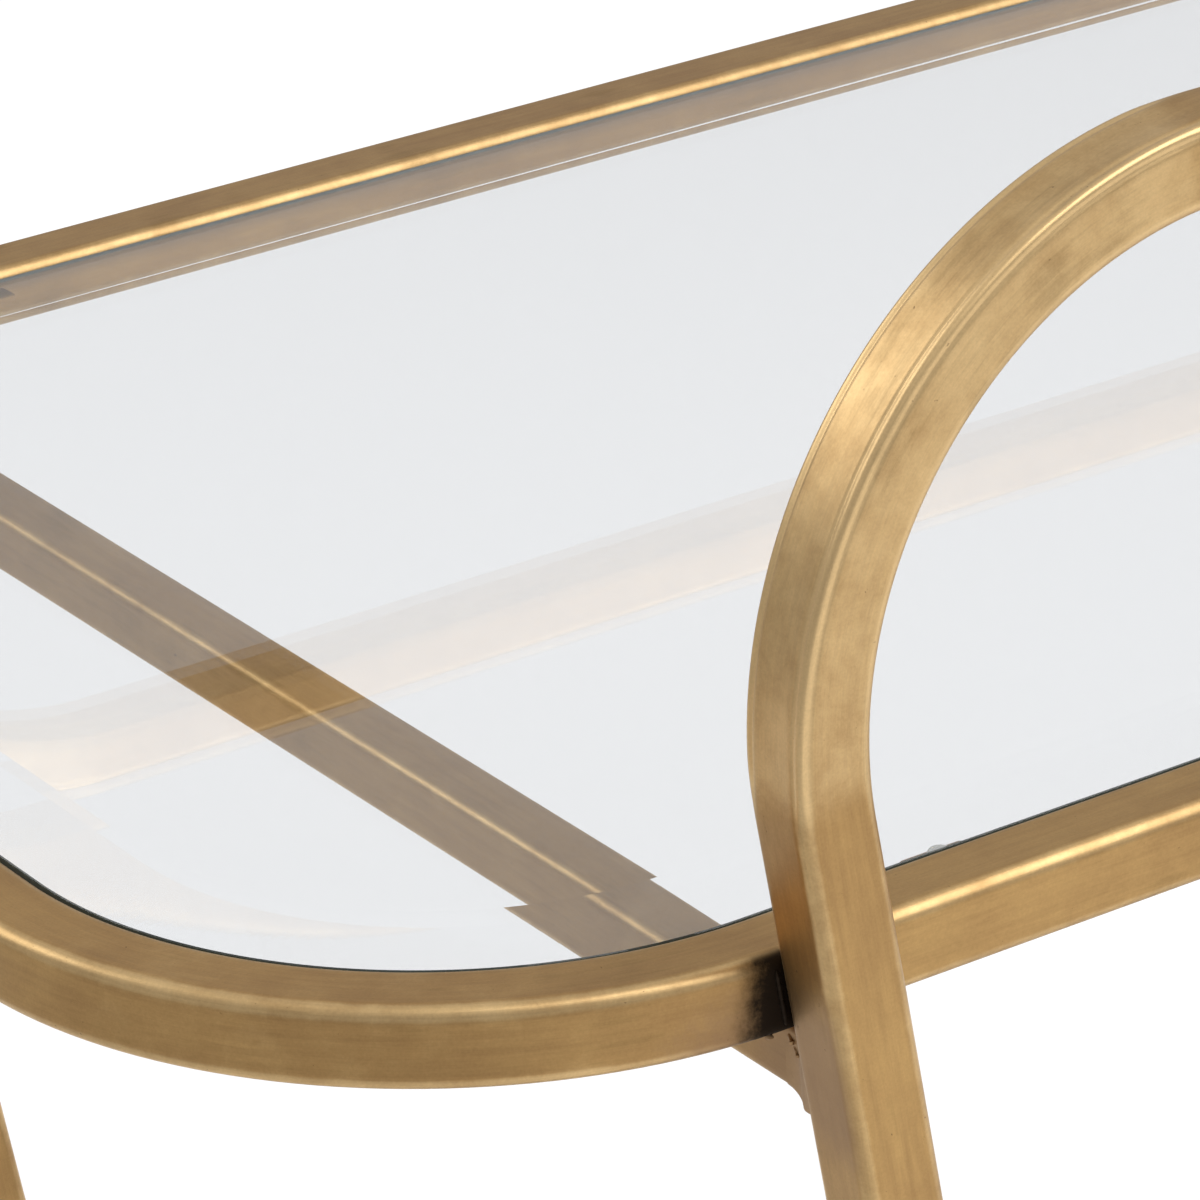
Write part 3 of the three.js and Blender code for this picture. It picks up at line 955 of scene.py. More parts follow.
def cut(solid: Solid, *tools: tuple[str, Solid], ease: float = 0.0) -> Solid:
    """Joins, cuts or intersects a mesh with others, and eases its edges.

    Args:
        solid: The mesh to work on.
        tools: Pairs of "UNION", "DIFFERENCE" or "INTERSECT" and the other mesh.
        ease: Width of the rounding on its sharp edges.

    Returns:
        The worked mesh.
    """

    def holder(name: str, shape: Solid) -> bpy.types.Object:
        """Makes a passing object of a mesh, with its faces turned out.

        Args:
            name: The object's name.
            shape: The mesh.

        Returns:
            The object.
        """
        mesh = bpy.data.meshes.new(name)
        mesh.from_pydata(shape.points.tolist(), [], shape.faces)
        faced_out(mesh)
        return added(name, mesh)

    work = holder("work", solid)
    others = []
    for kind, tool in tools:
        other = holder("tool", tool)
        others.append(other)
        step = work.modifiers.new("cut", "BOOLEAN")
        step.operation, step.solver, step.object = kind, "EXACT", other
    if ease:
        step = work.modifiers.new("ease", "BEVEL")
        step.width, step.segments, step.limit_method = ease, 2, "ANGLE"
        step.angle_limit = math.radians(40)
        step.use_clamp_overlap = True
    seen = work.evaluated_get(bpy.context.evaluated_depsgraph_get())
    result = seen.to_mesh()
    points = np.array([tuple(vertex.co) for vertex in result.vertices])
    faces = [tuple(polygon.vertices) for polygon in result.polygons]
    seen.to_mesh_clear()
    for thing in (work, *others):
        mesh = thing.data
        bpy.data.objects.remove(thing)
        bpy.data.meshes.remove(mesh)
    return Solid(points, faces)


# ---- Square tube ------------------------------------------------------------------------------------


@dataclass(frozen=True)
class Station:
    """One place along a tube's middle line."""

    at: Vector
    out: Vector
    side: Vector
    along: float
    bend: float = 0.0
    level_cut: bool = False


@dataclass(frozen=True)
class SquareTube:
    """Square tube with rounded long edges."""

    width: float = 20.0
    corner: float = 3.6
    flat_steps: int = 10
    corner_steps: int = 12
    dish: float = 0.62
    bead: float = 0.45
    groove: float = 0.34

    def section(self) -> list[tuple[float, ...]]:
        """Works out the tube's outline, from the middle of its inner face.

        Returns:
            For each point: its place out and to the side, its normal, and its distance round the tube.
        """
        half, r = self.width / 2, self.corner
        flat = half - r
        q = QUARTER
        points: list[tuple[float, ...]] = []
        for k in range(4):
            # k counts the faces from the inner one: inner, side, outer, side.
            turn = -math.pi + q * k
            n = (math.cos(turn), math.sin(turn))
            t = (-n[1], n[0])
            for i in range(self.flat_steps):
                # The first face starts at its middle and is finished at the end.
                share = -1 + 2 * (i + 0.5) / self.flat_steps
                across = flat * math.copysign(abs(share) ** 0.8, share)
                points.append((n[0] * half + t[0] * across, n[1] * half + t[1] * across, *n))
            for i in range(self.corner_steps):
                angle = turn + q * (i + 0.5) / self.corner_steps
                cx, cy = n[0] * flat + t[0] * flat, n[1] * flat + t[1] * flat
                c, s = math.cos(angle), math.sin(angle)
                points.append((cx + r * c, cy + r * s, c, s))
        start = self.flat_steps // 2
        points = points[start:] + points[:start]
        section = []
        round_tube = 0.0
        for i, (a, b, na, nb) in enumerate(points):
            if i:
                round_tube += math.hypot(a - points[i - 1][0], b - points[i - 1][1])
            section.append((a, b, na, nb, round_tube))
        return section

    def edge_share(self, a: float, b: float) -> float:
        """Works out how far a point is on a rounded edge.

        Args:
            a: The point's place outwards.
            b: Its place to the side.

        Returns:
            0 on a flat, rising to 1 at the edge's middle.
        """
        flat = self.width / 2 - self.corner
        past = min(abs(a) - flat, abs(b) - flat) / (self.corner * (1 - 1 / math.sqrt(2)))
        return max(0.0, min(1.0, past))

    def bend_relief(self, a: float, b: float) -> float:
        """How far the wall of a full bend stands proud: sunken outside, with a bead on each outer edge.

        Args:
            a: The point's place outwards.
            b: Its place to the side.

        Returns:
            The offset along the wall's normal, in millimetres.
        """
        half = self.width / 2
        edge = half - self.corner * (1 - 1 / math.sqrt(2))
        if a > half - 0.4 * self.corner:
            off = edge - abs(b)
            across = max(0.0, 1 - (b / (half - 1.0)) ** 2)
            sink = -self.dish * across**0.8
        else:
            off = edge - a
            sink = 0.0
        if a < 0:
            return sink
        ridge = self.bead * math.exp(-((off / 0.8) ** 2))
        hollow = -self.groove * math.exp(-(((off - 1.7) / 0.6) ** 2))
        return sink + ridge + hollow

    def swept(self, stations: Sequence[Station], closed: bool, seed: float) -> Solid:
        """Sweeps the tube along its stations.

        Args:
            stations: The places along its middle line.
            closed: True for a ring, False for a tube with two capped ends.
            seed: Sets this piece's brushing apart from others.

        Returns:
            The mesh, with the values its finish reads.
        """
        section = self.section()
        count = len(section)
        a0, b0, _, _, last = section[-1]
        girth = last + math.hypot(a0 - section[0][0], b0 - section[0][1])
        points: list[Vector] = []
        trait: list[Spot] = []
        for station in stations:
            tangent = station.out.cross(station.side)
            for a, b, na, nb, _ in section:
                lift = self.bend_relief(a, b) * station.bend if station.bend else 0.0
                spot = station.at + station.out * (a + na * lift) + station.side * (b + nb * lift)
                if station.level_cut:
                    spot = spot - tangent * ((spot.z - station.at.z) / tangent.z)
                points.append(spot)
                inner = 1.0 if closed and a < 0.9 * self.corner - self.width / 2 else 0.0
                trait.append((self.edge_share(a, b), station.bend, inner))
        spans = len(stations) if closed else len(stations) - 1
        total = stations[-1].along + (stations[0].at - stations[-1].at).length
        faces: Faces = []
        run: list[Spot] = []
        for i in range(spans):
            j = (i + 1) % len(stations)
            s0 = stations[i].along
            s1 = stations[j].along if j else total
            for k in range(count):
                n = (k + 1) % count
                u0 = section[k][4]
                u1 = section[n][4] if n else girth
                faces.append((i * count + k, i * count + n, j * count + n, j * count + k))
                run += [(s0, u0, seed), (s0, u1, seed), (s1, u1, seed), (s1, u0, seed)]
        if not closed:
            end = (len(stations) - 1) * count
            for cap in (range(count - 1, -1, -1), range(end, end + count)):
                faces.append(tuple(cap))
                run += [(stations[0].along, section[k % count][4], seed) for k in cap]
        return Solid(np.array([tuple(p) for p in points]), faces, np.array(run) * MM, np.array(trait))


# ---- Hoops ------------------------------------------------------------------------------------------


@dataclass
class Hoop:
    """One bent tube: two leaning legs, two bends and the straight handle between them."""

    node: str
    tube: SquareTube = field(default_factory=SquareTube)
    bend: float = 117.5
    lean: float = math.radians(9.6)
    leg_steps: int = 26
    bend_steps: int = 84
    top_steps: int = 10
    ease_in: float = 16.0

    def __post_init__(self) -> None:
        """Reads the hoop's place from the frame."""
        low, high = boxed(self.node)
        self.y = (low.y + high.y) / 2
        self.foot = low.z
        self.arch_x = high.x - self.bend
        self.arch_z = high.z - self.bend

    def leg_x(self, z: float) -> float:
        """Distance from the cart's middle to the outer face of a leg at a height."""
        end = self.arch_z - self.bend * math.sin(self.lean)
        return self.arch_x + self.bend * math.cos(self.lean) - (end - z) * math.tan(self.lean)

    def stations(self) -> list[Station]:
        """Places along the hoop from the right foot over the top to the left foot.

        Returns:
            The stations.
        """
        middle = self.bend - self.tube.width / 2
        side = Vector((0, 1, 0))
        sweep = math.pi / 2 + self.lean
        arc_length = middle * sweep
        foot_x = self.leg_x(self.foot) - self.tube.width / 2 / math.cos(self.lean)
        cos, sin = math.cos(self.lean), math.sin(self.lean)
        start = Vector((self.arch_x + middle * cos, 0, self.arch_z - middle * sin))
        foot = Vector((foot_x, 0, self.foot))
        leg = (start - foot).length
        made: list[Station] = []
        out = Vector((cos, 0, -sin))
        for i in range(self.leg_steps):
            share = i / self.leg_steps
            made.append(Station(foot.lerp(start, share), out, side, leg * share, 0.0, i == 0))
        for i in range(self.bend_steps + 1):
            share = i / self.bend_steps
            angle = -self.lean + sweep * share
            out = Vector((math.cos(angle), 0, math.sin(angle)))
            centre = Vector((self.arch_x, 0, self.arch_z))
            from_end = min(share, 1 - share) * arc_length
            t = min(1.0, from_end / self.ease_in)
            smooth = t * t * (3 - 2 * t)
            made.append(Station(centre + out * middle, out, side, leg + arc_length * share, smooth))
        top, up = self.arch_z + middle, Vector((0, 0, 1))
        for i in range(1, self.top_steps):
            x = self.arch_x * (1 - i / self.top_steps)
            made.append(Station(Vector((x, 0, top)), up, side, leg + arc_length + self.arch_x - x))
        half = leg + arc_length + self.arch_x
        made.append(Station(Vector((0, 0, top)), up, side, half))
        mirrored = [
            Station(
                Vector((-s.at.x, 0, s.at.z)),
                Vector((-s.out.x, 0, s.out.z)),
                s.side,
                2 * half - s.along,
                s.bend,
                s.level_cut,
            )
            for s in reversed(made[:-1])
        ]
        return [*made, *mirrored]

    def build(self) -> Solid:
        """Builds the hoop's tube in its place."""
        return self.tube.swept(self.stations(), False, self.y).moved(place(0, self.y, 0))

    def dress(self, finish: Finish) -> None:
        """Shows the hoop in a finish."""
        self.build().shown(f"{self.node}_tube", finish, "cart", self.node)


# ---- Shelves ----------------------------------------------------------------------------------------


@dataclass
class GlassPanel:
    """A glass panel with a wide shallow bevel round its upper face."""

    node: str
    bevel: float = 26.0
    drop: float = 0.85
    arris: float = 0.25
    corner: float = 109.8
    steps: int = 60

    def build(self) -> Solid:
        """Builds the panel where the frame has it.

        Returns:
            The closed mesh, its flats truly flat.
        """
        low, high = boxed(self.node)
        length, width = high.x - low.x, high.y - low.y

        def outline(inset: float, z: float) -> list[Spot]:
            """Draws the panel's outline.

            Args:
                inset: How far in from the panel's edge it runs.
                z: Its height.

            Returns:
                The outline's points.
            """
            long, wide = length - 2 * inset, width - 2 * inset
            flat = rounded_box_outline(long, wide, self.corner - inset, self.steps)
            return [(x, y, z) for x, y in flat]

        return stacked(
            [
                outline(self.arris, low.z),
                outline(0.0, low.z + self.arris),
                outline(0.0, high.z - self.drop - self.arris),
                outline(self.arris, high.z - self.drop),
                outline(self.bevel, high.z),
            ]
        )

    def dress(self, finish: Finish) -> None:
        """Shows the panel in a finish."""
        self.build().shown(f"{self.node}_panel", finish, "cart", self.node, flat=True)


@dataclass
class Shelf:
    """A ring of tube with its cross bars, tabs, bumpers and glass panel."""

    name: str
    tube: SquareTube = field(default_factory=SquareTube)
    bar: SquareTube = field(default_factory=lambda: SquareTube(16.0, 2.2, 6, 6))
    corner: float = 131.0
    corner_steps: int = 44
    rail_steps: int = 8
    bar_steps: int = 12
    corner_relief: float = 0.22
    ends: tuple[str, ...] = (
        "front_left", "front_right", "back_left", "back_right", "left_end", "right_end"
    )

    def __post_init__(self) -> None:
        """Reads the shelf's place from the frame."""
        self.low, self.high = boxed(f"{self.name}_shelf_ring")

    def ring(self) -> Solid:
        """Builds the ring of tube, closed on itself.

        Returns:
            The mesh.
        """
        half = self.tube.width / 2
        radius = self.corner - half
        x, y = self.high.x - self.corner, self.high.y - self.corner
        z = self.high.z - half
        up = Vector((0, 0, 1))
        made: list[Station] = []
        along = 0.0
        rails = (2 * y, 2 * x, 2 * y, 2 * x)
        for k, (cx, cy) in enumerate(((x, y), (-x, y), (-x, -y), (x, -y))):
            for i in range(self.corner_steps + 1):
                share = i / self.corner_steps
                angle = math.pi / 2 * (k + share)
                out = Vector((math.cos(angle), math.sin(angle), 0))
                t = min(1.0, min(share, 1 - share) * 4)
                at, gone = Vector((cx, cy, z)) + out * radius, along + radius * math.pi / 2 * share
                made.append(Station(at, out, up, gone, self.corner_relief * t))
            along += radius * math.pi / 2
            rail = rails[(k + 1) % 4]
            steps = self.rail_steps
            ahead = Vector((-math.sin(angle), math.cos(angle), 0))
            end = made[-1]
            for i in range(1, steps):
                gone = along + rail * i / steps
                made.append(Station(end.at + ahead * rail * i / steps, end.out, up, gone))
            along += rail
        return self.tube.swept(made, True, self.high.z)

    def cross_bar(self, side: int) -> Solid:
        """Builds a cross bar.

        Args:
            side: -1 for the left one, 1 for the right one.

        Returns:
            The mesh.
        """
        word = "left" if side < 0 else "right"
        low, high = boxed(f"{self.name}_cross_bar_{word}")
        middle = (low + high) / 2
        out, across = Vector((0, 0, 1)), Vector((1, 0, 0))
        steps, long = self.bar_steps, high.y - low.y
        stations = []
        for i in range(steps + 1):
            at = Vector((middle.x, low.y + long * i / steps, middle.z))
            stations.append(Station(at, out, across, high.y * i / (steps / 2)))
        return self.bar.swept(stations, False, middle.x)

    def dress(self, metal: Finish, pressed: Finish, glass: Finish, soft: Finish) -> None:
        """Shows the shelf.

        Args:
            metal: The finish of its tubes.
            pressed: The finish of its tabs and seams.
            glass: The finish of its panel.
            soft: The finish of its bumpers.
        """
        ring = f"{self.name}_shelf_ring"
        self.ring().shown(f"{ring}_tube", metal, "cart", ring)
        for side, word in ((-1, "left"), (1, "right")):
            node = f"{self.name}_cross_bar_{word}"
            self.cross_bar(side).shown(f"{node}_tube", metal, "cart", node)
        for end in self.ends:
            tab, bumper = f"{self.name}_tab", f"{self.name}_bumper"
            self.tab(end).shown(f"{tab}_plate_{end}", pressed, "cart", f"{tab}_{end}")
            self.bumper(end).shown(f"{bumper}_dome_{end}", soft, "cart", f"{bumper}_{end}")
        GlassPanel(f"{self.name}_glass").dress(glass)

    def tab(self, end: str) -> Solid:
        """Builds a small welded tab with eased edges.

        Args:
            end: Which tab it is.

        Returns:
            The mesh.
        """
        low, high = boxed(f"{self.name}_tab_{end}")
        middle, size = (low + high) / 2, high - low
        plate = extruded(rounded_box_outline(size.x, size.y, 1.4, 5), low.z, high.z)
        return cut(plate.moved(place(middle.x, middle.y, 0)), ease=0.3)

    def bumper(self, end: str) -> Solid:
        """Builds a soft domed bumper.

        Args:
            end: Which bumper it is.

        Returns:
            The mesh.
        """
        low, high = boxed(f"{self.name}_bumper_{end}")
        middle = (low + high) / 2
        radius, tall = (high.x - low.x) / 2, high.z - low.z
        shares = ((0, 0), (0.94, 0), (1, 0.12), (1, 0.38), (0.9, 0.76), (0.66, 0.96), (0.3, 1), (0, 1))
        profile = [(radius * out, tall * up) for out, up in shares]
        return turned(eased(profile, 0.2, 3, False), 32).moved(place(middle.x, middle.y, low.z))


# ---- Welds ------------------------------------------------------------------------------------------


@dataclass
class WeldSeams:
    """The seams at one leg of one shelf: bar to leg, ring to leg and ring to bar."""

    shelf: Shelf
    hoop: Hoop
    side: int
    row: int
    reach: float = 6.5
    drop: float = 4.0

    def __post_init__(self) -> None:
        """Reads the bar's place from the frame and starts this seam's own chance."""
        word = "left" if self.side < 0 else "right"
        low, high = boxed(f"{self.shelf.name}_cross_bar_{word}")
        self.bar_x = abs((low.x + high.x) / 2)
        self.bar_z = (low.z + high.z) / 2
        self.chance = random.Random(f"{self.shelf.name}{self.side}{self.row}")
        # Drawn for the back right leg, then mirrored.
        self.to_place = Matrix.Diagonal((self.side, self.row, 1, 1))

    def blend(self) -> Solid:
        """Builds the ground fillet that flares from the bar's end on to the leg.

        Returns:
            The mesh, in its place.
        """
        bar, tube = self.shelf.bar, self.hoop.tube
        half, flat = bar.width / 2, bar.width / 2 - bar.corner
        face = abs(self.hoop.y) - tube.width / 2
        levels = []
        for off in (self.reach, *(self.reach * (1 - i / 14) for i in range(1, 15)), -0.8, -1.8, -3.2):
            share = max(0.0, 1 - max(off, 0.0) / self.reach)
            flare = 1 - math.sqrt(max(0.0, 1 - share * share))
            sunk = -0.3 if off == self.reach else 0.12
            level = []
            for x, z in rounded_box_outline(bar.width, bar.width, bar.corner, 8):
                down = self.drop * flare * max(0.0, min(1.0, -z / flat))
                high = self.bar_z + z - down
                # The flare stops at the leg's own rounded corner, on both of its sides.
                past = tube.corner + min(off, 0.0)
                into = tube.corner - math.sqrt(max(0.0, tube.corner**2 - past**2))
                low = max(0.0, -z / half) ** 2
                into = into + 0.35 + 0.5 * low if off < 0 else tube.corner * (0.55 + 0.45 * low)
                outer, inner = self.hoop.leg_x(high) - into, self.inner_x(high) + into
                room = max(0.0, outer - self.bar_x - half if x > 0 else self.bar_x - half - inner)
                grown = self.bar_x + x + math.copysign(room * flare * min(1.0, abs(x) / flat), x)
                right, up = math.copysign(1, x), math.copysign(1, z)
                level.append((grown + sunk * right, face - off, high + sunk * up))
            levels.append(level)
        return stacked(levels).moved(self.to_place)

    def bead(self, start: Vector, stop: Vector, radius: float) -> Solid:
        """Builds a thin rippled bead of weld between two points.

        Args:
            start: Its first end.
            stop: Its other end.
            radius: Its usual radius.

        Returns:
            The mesh, for the back right leg.
        """
        run = stop - start
        steps = max(8, int(run.length / 0.45))
        first = run.orthogonal().normalized()
        second = run.normalized().cross(first)
        levels = []
        for i in range(steps + 1):
            share = i / steps
            taper = math.sin(math.pi * min(1.0, max(0.02, share * (1 - share) * 9 + 0.04)) / 2)
            ripple = 1 + 0.14 * math.sin(share * run.length * 2.6) + self.chance.uniform(-0.09, 0.09)
            size = radius * taper * ripple
            middle = start + run * share
            levels.append(
                [
                    tuple(middle + first * size * math.cos(a) + second * size * math.sin(a))
                    for a in (2 * math.pi * k / 12 for k in range(12))
                ]
            )
        return stacked(levels)

    def beads(self) -> Solid:
        """Builds the beads where the ring meets the leg and where the bar meets the ring.

        Returns:
            The mesh, in its place.
        """
        face = self.shelf.high.y
        top, bottom = self.shelf.high.z - 3.4, self.shelf.low.z + 2.6
        made = []
        for across, x in ((0.1, self.hoop.leg_x), (-0.1, self.inner_x)):
            start = Vector((x(bottom) + across, face + 0.05, bottom))
            stop = Vector((x(top) + across, face + 0.05, top))
            made.append(self.bead(start, stop, 0.6))
        under = self.shelf.low.z - 0.1
        for edge in (-1, 1):
            x = self.bar_x + edge * (self.shelf.bar.width / 2 - 1.0)
            made.append(self.bead(Vector((x, face - 17.5, under)), Vector((x, face - 5.0, under)), 0.7))
        # Short crescents where the bead was stopped, under the ring and on the bar's outer side.
        outer = self.bar_x + self.shelf.bar.width / 2
        for x, y, z, size in ((6.2, -3.4, 0.2, 0.9), (0.1, -3.6, -3.4, 0.7), (0.2, -1.6, -5.6, 0.55)):
            spot = Vector((outer + x, face + y, under + z))
            across, fall = self.chance.uniform(0.2, 0.5), self.chance.uniform(-0.7, -0.3)
            lean = Vector((across, 0.8, fall)).normalized()
            made.append(self.bead(spot - lean * 1.5, spot + lean * 1.5, size))
        return joined(*made).moved(self.to_place)

    def inner_x(self, z: float) -> float:
        """Distance from the cart's middle to the inner face of the leg at a height."""
        return self.hoop.leg_x(z) - self.hoop.tube.width / math.cos(self.hoop.lean)

    def dress(self, finish: Finish) -> None:
        """Shows the seams.

        Args:
            finish: Their finish.
        """
        row, side = "front" if self.row < 0 else "back", "left" if self.side < 0 else "right"
        word = f"{self.shelf.name}_{row}_{side}"
        self.blend().shown(f"weld_blend_{word}", finish, "cart")
        self.beads().shown(f"weld_beads_{word}", finish, "cart")


# ---- Casters ----------------------------------------------------------------------------------------


@dataclass
class Caster:
    """A swivel caster under one leg, with its end plate, and its brake pedal where it has one."""

    corner_name: str
    braked: bool
    wheel: float = 25.0
    tread: float = 20.0
    rim: float = 17.0
    trail: float = 18.0
    axle: float = 3.0
    stem: float = 4.0
    sheet: float = 2.5
    side_gap: float = 1.5
    head: float = 15.0
    fork_room: float = 5.0
    head_height: float = 6.0
    cap_height: float = 9.0
    face_gap: float = 0.25
    brake_gap: float = 0.4
    lobe: float = 5.2
    plate: float = 3.0
    pedal_rise: float = math.radians(120)

    def __post_init__(self) -> None:
        """Reads the caster's place from the frame and works out its heights."""
        low, high = boxed(f"caster_stem_{self.corner_name}")
        self.x, self.y = (low.x + high.x) / 2, (low.y + high.y) / 2
        self.stem_top = high.z
        self.fork_top = 2 * self.wheel + self.fork_room
        self.head_top = self.fork_top + self.head_height
        self.seat = self.head_top + self.cap_height
        self.inside = self.tread / 2 + self.side_gap
        self.outside = self.inside + self.sheet
        off = self.wheel + self.brake_gap + self.lobe
        self.pedal_x = -self.trail + off * math.cos(self.pedal_rise)
        self.pedal_z = self.wheel + off * math.sin(self.pedal_rise)
        self.here = place(self.x, self.y, 0)

    def end_plate(self) -> Solid:
        """Builds the plate that closes the leg, with its bush.

        Returns:
            The mesh, about the swivel axis.
        """
        low, high = boxed(f"leg_end_plate_{self.corner_name}")
        outline = rounded_box_outline(high.x - low.x, high.y - low.y, 3.6, 7)
        plate = extruded(outline, low.z, low.z + self.plate)
        bush = rod(5.4, low.z + 1, high.z)
        bore = rod(self.stem + 0.1, low.z - 1, high.z + 1)
        return cut(plate, ("UNION", bush), ("DIFFERENCE", bore), ease=0.35)

    def stem_solid(self) -> Solid:
        """Builds the stem, its hexagon, the cap of the swivel head and the kingpin.

        Returns:
            The mesh, about the swivel axis.
        """
        cap, collar = self.head_top + self.face_gap, self.head_top + 4.5
        rivet = self.fork_top - self.sheet - self.face_gap
        profile = [
            (0, rivet - 2.2),
            (5.0, rivet - 2.2),
            (6.5, rivet - 1.1),
            (6.5, rivet),
            (self.stem, rivet),
            (self.stem, cap),
            (self.head + 1, cap),
            (self.head + 1, cap + 1.8),
            (self.head - 1.2, cap + 2.9),
            (self.head - 4, collar),
            (self.stem, collar),
        ]
        thread = []
        z = self.seat + 0.6
        while z < self.stem_top - 1.4:
            thread += [(self.stem, z), (self.stem - 0.45, z + 0.5)]
            z += 1.0
        tip = [(self.stem, self.stem_top - 0.9), (self.stem - 0.9, self.stem_top), (0, self.stem_top)]
        body = turned(eased(profile, 0.5, 3, False) + [(self.stem, self.seat)] + thread + tip, 48)
        hexagon = extruded(arc(0, 0, 7.2, 0, math.tau * 5 / 6, 5), collar - 0.4, self.seat)
        low, seat = collar - 1, self.seat
        chamfer = turned([(0, low), (7.9, low), (7.9, seat - 1.0), (6.6, seat), (0, seat)], 48)
        return joined(body, cut(hexagon, ("INTERSECT", chamfer), ease=0.2))

    def fork(self) -> Solid:
        """Builds the pressed fork: a channel cut to the fork's side, with the turning half of the head.

        Returns:
            The mesh, about the swivel axis.
        """
        o, i, top = self.outside, self.inside, self.fork_top
        channel = [(-o, 0), (-o, top - 3.4), *arc(-o + 3.4, top - 3.4, 3.4, math.pi, math.pi / 2, 6)]
        channel += [*arc(o - 3.4, top - 3.4, 3.4, math.pi / 2, 0, 6), (o, 0), (i, 0)]
        channel += [*arc(i - 1.0, top - self.sheet - 1.0, 1.0, 0, math.pi / 2, 4)]
        channel += [*arc(-i + 1.0, top - self.sheet - 1.0, 1.0, math.pi / 2, math.pi, 4), (-i, 0)]
        # Drawn in Y and Z, then run along X.
        body = extruded(channel, -60.0, 30.0).moved(ALONG_X)
        px = self.pedal_x
        side = eased(
            [
                (self.head - 2, top - 5),
                (self.head - 2, top + 1),
                (px - 3, top + 1),
                (px - 5, top - 3),
                (px - 4, top - 9),
                *arc(-self.trail, self.wheel, 7.5, math.pi * 0.93, math.pi * 2.12, 14),
            ],
            1.6,
            4,
        )
        silhouette = extruded(side, -2 * o, 2 * o).moved(UPRIGHT)
        window = extruded(rounded_box_outline(2 * 14, 4 * i, 2.0, 4), top - 4, top + 2)
        window = window.moved(place(px - 4, 0, 0))
        kingpin = rod(self.stem + 0.1, 0, self.seat)
        axle_hole = rod(self.axle + 0.2, -2 * o, 2 * o)
        pin_hole = rod(2.1, -2 * o, 2 * o, 32)
        pressed = cut(
            body,
            ("INTERSECT", silhouette),
            ("DIFFERENCE", axle_hole.moved(place(-self.trail, 0, self.wheel) @ ALONG_Y)),
            ("DIFFERENCE", pin_hole.moved(place(px, 0, self.pedal_z) @ ALONG_Y)),
            ("DIFFERENCE", window),
            ("DIFFERENCE", kingpin),
            ease=0.4,
        )
        h, t = self.head, self.head_top
        bore = self.stem + 0.1
        race = [(bore, top - 1), (h - 2.0, top - 1), (h - 0.6, top + 0.8), (h, top + 2.2), (h, t - 1.2)]
        race += [(h - 0.6, t), (h - 3.0, t), (h - 3.6, t - 0.8), (bore, t - 0.8)]
        return joined(pressed, turned(eased(race, 0.5, 3), 56))

    def axle_solid(self) -> Solid:
        """Builds the axle bolt with its washer faces, hexagon head and nut.

        Returns:
            The mesh, along Y about the axle.
        """
        o = self.outside
        profile = [(0, -o - 3), (3, -o - 3), (3, o + 2.2), (2.3, o + 3), (0, o + 3)]
        made = [turned(eased(profile, 0.4, 3, False), 40)]
        for end, radius in ((-1, 5.2), (1, 5.4)):
            near, far = o + 0.2, o + 3.2
            hexagon = extruded(arc(0, 0, radius, 0, math.tau * 5 / 6, 5), near + 0.5, far)
            crown = [(0, near), (radius, near), (radius, far - 0.8), (radius - 1.0, far), (0, far)]
            dome, lip = turned(crown, 40), near + 0.5
            flange = eased([(0, near), (radius, near), (radius, lip), (0, lip)], 0.15, 2, False)
            flange = turned(flange, 40)
            head = joined(cut(hexagon, ("INTERSECT", dome), ease=0.15), flange)
            made.append(head if end > 0 else head.moved(TIPPED))
        return joined(*made).moved(ALONG_Y)

    def hub(self) -> Solid:
        """Builds the moulded wheel core: a dished disc with ribs.

        Returns:
            The mesh, along Y about the axle.
        """
        half, bore, rim = self.tread / 2, self.axle + 0.1, self.rim
        boss = half + self.side_gap - self.face_gap
        profile = [
            (bore, -boss),
            (bore + 3, -boss),
            (bore + 3.4, -half + 3),
            (rim - 2.9, -half + 3),
            (rim - 2.2, -half + 0.5),
            (rim, -half + 0.5),
            (rim, half - 0.5),
            (rim - 2.2, half - 0.5),
            (rim - 2.9, half - 3),
            (bore + 3.4, half - 3),
            (bore + 3, boss),
            (bore, boss),
        ]
        made = [turned(eased(profile, 0.6, 3), 72)]
        for end in (-1, 1):
            for k in range(6):
                outline = rounded_box_outline(rim - bore - 4.6, 1.5, 0.4, 3)
                rib = extruded(outline, half - 3.4, half - 1.6)
                turn = Matrix.Rotation(math.tau * (k + 0.5) / 6, 4, "Z")
                turn = turn @ place((rim + bore) / 2 + 0.4, 0, 0)
                flip = Matrix.Identity(4) if end > 0 else TIPPED
                made.append(cut(rib, ease=0.3).moved(flip @ turn))
        return joined(*made).moved(ALONG_Y)

    def tyre(self) -> Solid:
        """Builds the tyre with round shoulders, a flat tread and a fine mould line.

        Returns:
            The mesh, along Y about the axle.
        """
        half, out, inside = self.tread / 2, self.wheel, self.rim + 0.2
        line = [(out - 0.12, -0.35), (out, -0.15), (out, 0.15), (out - 0.12, 0.35)]
        near = arc(out - 3.1, -half + 3, 3.0, -QUARTER, 0, 9)
        far = arc(out - 3.1, half - 3, 3.0, 0, QUARTER, 9)
        wall = [(inside, -half + 0.3), (inside + 0.5, -half), (inside + 2.2, -half)]
        wall.append((inside + 2.6, -half + 0.35))
        other = [(r, -y) for r, y in reversed(wall)]
        near, far = ([spot for spot in side if spot[0] > inside + 2.9] for side in (near, far))
        profile = [*wall, *near, *line, *far, *other]
        return turned(profile, 96).moved(ALONG_Y)

